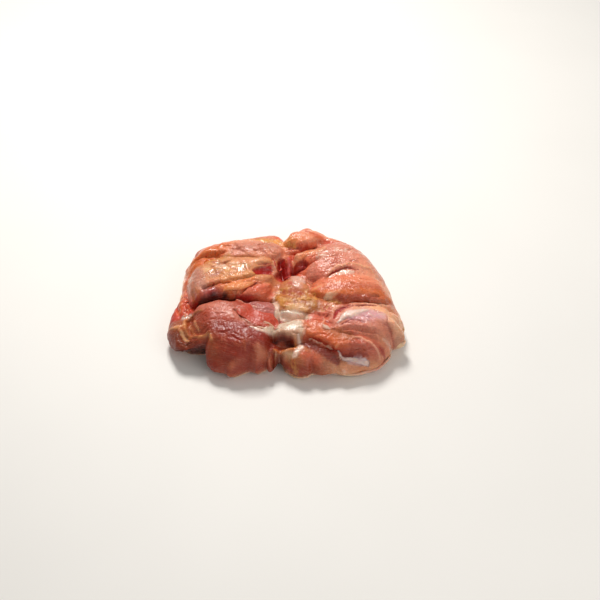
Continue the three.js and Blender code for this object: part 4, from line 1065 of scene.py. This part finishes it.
def noise(tree, vector, scale, detail=3.0, roughness=0.55):
    wires = {"Vector": vector, "Scale": scale, "Detail": detail, "Roughness": roughness}
    return addNode(tree, "TexNoise", wires).outputs["Fac"]


def calc(tree, operation, first, second=0.0):
    return addNode(tree, "Math", {0: first, 1: second}, operation=operation).outputs[0]


def ramp(tree, value, low, high, start=0.0, end=1.0):
    wires = {"Value": value, "From Min": low, "From Max": high, "To Min": start, "To Max": end}
    return addNode(tree, "MapRange", wires, interpolation_type="SMOOTHSTEP").outputs["Result"]


def mixColours(tree, share, first, second, blendType="MIX"):
    mix = addNode(tree, "Mix", {0: share, 6: first, 7: second}, data_type="RGBA", blend_type=blendType)
    return mix.outputs[2]


def rgba(colour):
    return (*linear(colour), 1.0)


# a new material with the shader's own sockets set, and the object coordinates that its patterns read
def startMaterial(name, sockets):
    material = bpy.data.materials.new(name)
    material.use_nodes = True
    tree = material.node_tree
    surface = tree.nodes["Principled BSDF"]
    for key, value in sockets.items():
        surface.inputs[key].default_value = value
    place = addNode(tree, "TexCoord").outputs["Object"]
    return material, tree, surface, place


# bump nodes one after another, each as (height, strength, distance in metres)
def bumps(tree, layers):
    normal = None
    for height, strength, distance in layers:
        wires = {"Height": height, "Strength": strength, "Distance": distance}
        if normal:
            wires["Normal"] = normal
        normal = addNode(tree, "Bump", wires).outputs["Normal"]
    return normal


meatFinish = {
    "yellow": (168, 88, 28), "paleYellow": (218, 156, 78), "film": (230, 198, 178), "blood": (128, 14, 12),
    "freshBlood": (184, 34, 24), "orange": (214, 112, 54), "pale": (236, 190, 168), "vein": (150, 40, 34),
    # multiplied over the tone: in coarse patches, in lighter flecks that are partly painted sparkle, and
    # everywhere
    "shade": (0.93, 0.84, 0.8, 1), "fleckSparkle": (1.5, 1.6, 1.65, 1), "warmth": (0.97, 0.9, 0.86, 1),
    # noise as scale, detail and roughness
    "noises": {
        "drift": (120, 2), "coarse": (70, 4), "fine": (420, 3), "tiny": (1300, 2), "patchy": (210, 4, 0.65),
        "flecksAndSparkle": (620, 3, 0.65), "gloss": (260, 3), "grit": (760, 2),
    },
    # fibres: grain coordinates times this, pushed sideways by the drift
    "fibreStretch": (110, 1500, 1), "fibreDrift": 3.0,
    "coat": {"clean": 0.26, "bloody": 0.03, "wet": 0.3}, "roughness": (0.26, 0.52),
    "filmGloss": 0.2, "wetGloss": 0.4, "wetRelief": 0.25, "coatRelief": 0.45,
    # bump strength and distance in metres
    "relief": {"fibre": (0.5, 0.0004), "fine": (0.7, 0.0008), "grit": (0.8, 0.0006), "tiny": (0.6, 0.0003)},
    "sockets": {
        "Subsurface Weight": 0.25, "Subsurface Radius": (1.0, 0.3, 0.18), "Subsurface Scale": 0.0018,
        "Coat Weight": 0.24, "Coat Roughness": 0.12, "IOR": 1.42, "Specular IOR Level": 0.32,
    },
}


# the painted tone under fibres, orange stain, fat, film, blood (in furrows partly painted shade) and lighter
# flecks that are partly painted sparkle, with a wet coat over all of it
def meatMaterial():
    finish = meatFinish
    material, tree, surface, place = startMaterial("rawMeat", finish["sockets"])

    def painted(name):
        return addNode(tree, "VertexColor", layer_name=name).outputs["Color"]

    def times(first, second):
        return calc(tree, "MULTIPLY", first, second)

    def tinted(colour, tint):
        return mixColours(tree, 1.0, colour, tint, "MULTIPLY")

    # a mark's share with broken edges
    def edged(mark, softness=0.34):
        broken = calc(tree, "ADD", mark, times(calc(tree, "SUBTRACT", made["patchy"], 0.5), 1.1))
        return ramp(tree, broken, 0.5 - softness / 2, 0.5 + softness / 2)

    tone = painted("tone")
    marks = addNode(tree, "SeparateColor", {"Color": painted("marks")})
    yellow, film, blood = (marks.outputs[name] for name in ("Red", "Green", "Blue"))
    stain = addNode(tree, "SeparateColor", {"Color": painted("stain")})
    orange, wet = stain.outputs["Red"], stain.outputs["Green"]
    made = {name: noise(tree, place, *settings) for name, settings in finish["noises"].items()}
    grain = addNode(tree, "Attribute", attribute_name="grain").outputs["Vector"]
    wires = {0: grain, 1: finish["fibreStretch"]}
    grain = addNode(tree, "VectorMath", wires, operation="MULTIPLY").outputs[0]
    drift = addNode(tree, "CombineXYZ", {"Y": times(made["drift"], finish["fibreDrift"])}).outputs[0]
    wavy = addNode(tree, "VectorMath", {0: grain, 1: drift}, operation="ADD").outputs[0]
    fibre, fine = noise(tree, wavy, 1.0, 3), made["fine"]
    fat = mixColours(tree, ramp(tree, fine, 0.38, 0.62), rgba(finish["yellow"]), rgba(finish["paleYellow"]))
    bloody = mixColours(tree, ramp(tree, blood, 0.3, 0.9), rgba(finish["freshBlood"]), rgba(finish["blood"]))
    layers = (
        (ramp(tree, fibre, 0.52, 0.78, 0, 0.24), rgba(finish["pale"])),
        (ramp(tree, fibre, 0.46, 0.24, 0, 0.3), rgba(finish["vein"])),
        (times(edged(orange, 0.6), 0.7), rgba(finish["orange"])),
        (times(edged(yellow, 0.5), 0.75), fat),
        (times(edged(film), ramp(tree, fine, 0.3, 0.7, 0.35, 0.85)), rgba(finish["film"])),
        (times(edged(blood, 0.5), 0.85), bloody),
        (ramp(tree, fine, 0.58, 0.76, 0, 0.3), rgba(finish["vein"])),
    )
    colour = mixColours(tree, ramp(tree, made["coarse"], 0.35, 0.65), tinted(tone, finish["shade"]), tone)
    for share, added in layers:
        colour = mixColours(tree, share, colour, added)
    # lighter flecks in each tone's own hue, partly painted sparkle
    flecksAndSparkle = ramp(tree, made["flecksAndSparkle"], 0.5, 0.7, 0, 0.35)
    colour = mixColours(tree, flecksAndSparkle, colour, tinted(colour, finish["fleckSparkle"]))
    tree.links.new(tinted(colour, finish["warmth"]), surface.inputs["Base Color"])
    coat = finish["coat"]
    coatShare = ramp(tree, blood, 0.2, 0.8, coat["clean"], coat["bloody"])
    tree.links.new(calc(tree, "ADD", coatShare, times(wet, coat["wet"])), surface.inputs["Coat Weight"])
    rough = ramp(tree, made["gloss"], 0.3, 0.7, *finish["roughness"])
    rough = calc(tree, "SUBTRACT", rough, times(film, finish["filmGloss"]))
    tree.links.new(times(rough, ramp(tree, wet, 0, 1, 1, finish["wetGloss"])), surface.inputs["Roughness"])
    flatter, made["fibre"] = ramp(tree, wet, 0, 1, 1, finish["wetRelief"]), fibre
    heights = {name: times(made[name], flatter) for name in finish["relief"]}
    for socket, depth in (("Normal", 1), ("Coat Normal", finish["coatRelief"])):
        sizes = finish["relief"].items()
        layers = [(heights[name], strength, distance * depth) for name, (strength, distance) in sizes]
        tree.links.new(bumps(tree, layers), surface.inputs[socket])
    return material


fatFinish = {
    "pale": (236, 206, 158), "red": (200, 96, 60),
    "sockets": {
        "Subsurface Weight": 0.3, "Subsurface Radius": (1.0, 0.8, 0.6), "Subsurface Scale": 0.0006,
        "Coat Weight": 0.2, "Coat Roughness": 0.15, "IOR": 1.45,
    },
}


def fatMaterial():
    material, tree, surface, place = startMaterial("wetFat", fatFinish["sockets"])
    tone = addNode(tree, "VertexColor", layer_name="tone").outputs["Color"]
    fine, broad = noise(tree, place, 500, 3), noise(tree, place, 150, 3)
    colour = mixColours(tree, ramp(tree, fine, 0.45, 0.75, 0, 0.5), tone, rgba(fatFinish["pale"]))
    colour = mixColours(tree, ramp(tree, broad, 0.55, 0.75, 0, 0.4), colour, rgba(fatFinish["red"]))
    tree.links.new(colour, surface.inputs["Base Color"])
    tree.links.new(ramp(tree, broad, 0.3, 0.7, 0.18, 0.36), surface.inputs["Roughness"])
    tree.links.new(bumps(tree, ((fine, 0.5, 0.0006),)), surface.inputs["Normal"])
    return material


skinFinish = {
    "base": (226, 188, 158), "pink": (214, 150, 130), "yellow": (228, 196, 138), "pore": (196, 138, 112),
    "sockets": {
        "Subsurface Weight": 0.4, "Subsurface Radius": (1.0, 0.5, 0.3), "Subsurface Scale": 0.0025,
        "Coat Weight": 0.25, "Coat Roughness": 0.15, "IOR": 1.45,
    },
}


def skinMaterial():
    material, tree, surface, place = startMaterial("skinPores", skinFinish["sockets"])
    wires = {"Vector": place, "Scale": 420, "Randomness": 0.75}
    pores = addNode(tree, "TexVoronoi", wires, feature="SMOOTH_F1").outputs["Distance"]
    dot = ramp(tree, pores, 0.42, 0.1)
    broad, fine = noise(tree, place, 60, 3), noise(tree, place, 800, 3)
    colour = mixColours(tree, ramp(tree, broad, 0.4, 0.6), rgba(skinFinish["base"]), rgba(skinFinish["pink"]))
    patches = ramp(tree, noise(tree, place, 35, 2), 0.5, 0.7, 0, 0.7)
    colour = mixColours(tree, patches, colour, rgba(skinFinish["yellow"]))
    colour = mixColours(tree, calc(tree, "MULTIPLY", dot, 0.35), colour, rgba(skinFinish["pore"]))
    tree.links.new(colour, surface.inputs["Base Color"])
    tree.links.new(ramp(tree, fine, 0.3, 0.7, 0.3, 0.5), surface.inputs["Roughness"])
    tree.links.new(bumps(tree, ((dot, 0.6, 0.0005), (fine, 0.3, 0.0003))), surface.inputs["Normal"])
    return material


def finishPiece(piece, material):
    piece.data.materials.append(material)
    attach(piece, "root")
    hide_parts("thigh")


meat, fat, rind = meatMaterial(), fatMaterial(), skinMaterial()
finishPiece(buildFlesh(), meat)
print("flesh made")
for name, rope in smallMuscles.items():
    finishPiece(buildRopes(name, rope, 60, 40), meat)
for name, rope in whiteParts.items():
    finishPiece(buildRopes(name, rope, 48, 32), meat)
print("small muscles, tendons and gristle made")


# widths and thicknesses as (from, to), in millimetres or times the length
lobuleShape = dict(
    timesLength=True, width=(0.5, 0.8), thick=(0.16, 0.26), bow=0.8, lift=(-0.9, -0.3), taper=0.55,
    rough=0.35,
)
threadShape = dict(
    timesLength=False, width=(0.6, 1.5), thick=(0.4, 0.8), bow=0.7, lift=(-0.3, 0.2), taper=0.7,
    rough=0.3,
)


# the scattered lumps or threads as one table of ropes
def randomRopes(zones, seed, lengthKey, shape):
    starts, ends, sizes, colours, rng = scatter(zones, seed, lengthKey)
    count, scale = len(sizes), sizes if shape["timesLength"] else 1
    width, thick = (scale * rng.uniform(*shape[key], count) for key in ("width", "thick"))
    bow, lift = rng.normal(0, shape["bow"], count), rng.uniform(*shape["lift"], count)
    ropes = dict(a=starts, b=ends, width=width, thick=thick, bow=bow, lift=lift, tone=colours)
    return dict(ropes, taper=shape["taper"], rough=shape["rough"])


finishPiece(buildRopes("fatLobules", randomRopes(fatLobules, 5, "size", lobuleShape), 16, 14), fat)
finishPiece(buildRopes("tornThreads", randomRopes(tornThreads, 9, "length", threadShape), 16, 8), meat)
print("fat lobules and torn threads made")
finishPiece(buildSkin(), rind)
print("skin made")

studio = {
    "floor": (236, 233, 228), "sky": (1.0, 0.99, 0.97), "skyStrength": 0.36,
    "lights": {
        "backSoftbox": dict(at=(-0.1, 0.42, 0.62), size=0.2, power=5.2, colour=(1.0, 0.98, 0.95)),
        "rightFill": dict(at=(0.38, -0.4, 0.42), size=0.5, power=1.2, colour=(1.0, 0.99, 0.97)),
    },
    "lens": 60, "sensor": 36, "elevation": 45, "distance": 0.6228, "target": (9, 2.5, 12),
}


def buildStudio():
    scene = bpy.context.scene
    mesh = bpy.data.meshes.new("floor")
    mesh.from_pydata([(-3, -3, 0), (3, -3, 0), (3, 3, 0), (-3, 3, 0)], [], [(0, 1, 2, 3)])
    floor = bpy.data.objects.new("floor", mesh)
    scene.collection.objects.link(floor)
    material, tree, surface, place = startMaterial("paleFloor", {"Roughness": 0.6})
    darker = rgba(tuple(value - 6 for value in studio["floor"]))
    shade = mixColours(tree, noise(tree, place, 9, 2), rgba(studio["floor"]), darker)
    tree.links.new(shade, surface.inputs["Base Color"])
    mesh.materials.append(material)
    aim = Vector(toFrame(studio["target"]))
    for name, light in studio["lights"].items():
        lamp = bpy.data.lights.new(name, "AREA")
        lamp.energy, lamp.size, lamp.color = light["power"], light["size"], light["colour"]
        holder = bpy.data.objects.new(name, lamp)
        holder.location = light["at"]
        holder.rotation_euler = (aim - holder.location).to_track_quat("-Z", "Y").to_euler()
        scene.collection.objects.link(holder)
    world = bpy.data.worlds.new("sky")
    world.use_nodes = True
    sky = world.node_tree.nodes["Background"]
    sky.inputs["Color"].default_value = (*studio["sky"], 1)
    sky.inputs["Strength"].default_value = studio["skyStrength"]
    scene.world = world
    lens = bpy.data.cameras.new("camera")
    lens.lens, lens.sensor_width = studio["lens"], studio["sensor"]
    camera = bpy.data.objects.new("camera", lens)
    tilt = math.radians(studio["elevation"])
    camera.location = aim + Vector((0, -math.cos(tilt), math.sin(tilt))) * studio["distance"]
    camera.rotation_euler = (aim - camera.location).to_track_quat("-Z", "Y").to_euler()
    scene.collection.objects.link(camera)
    scene.camera = camera
    scene.view_settings.view_transform = "Standard"


buildStudio()
print("floor, lights and camera made")
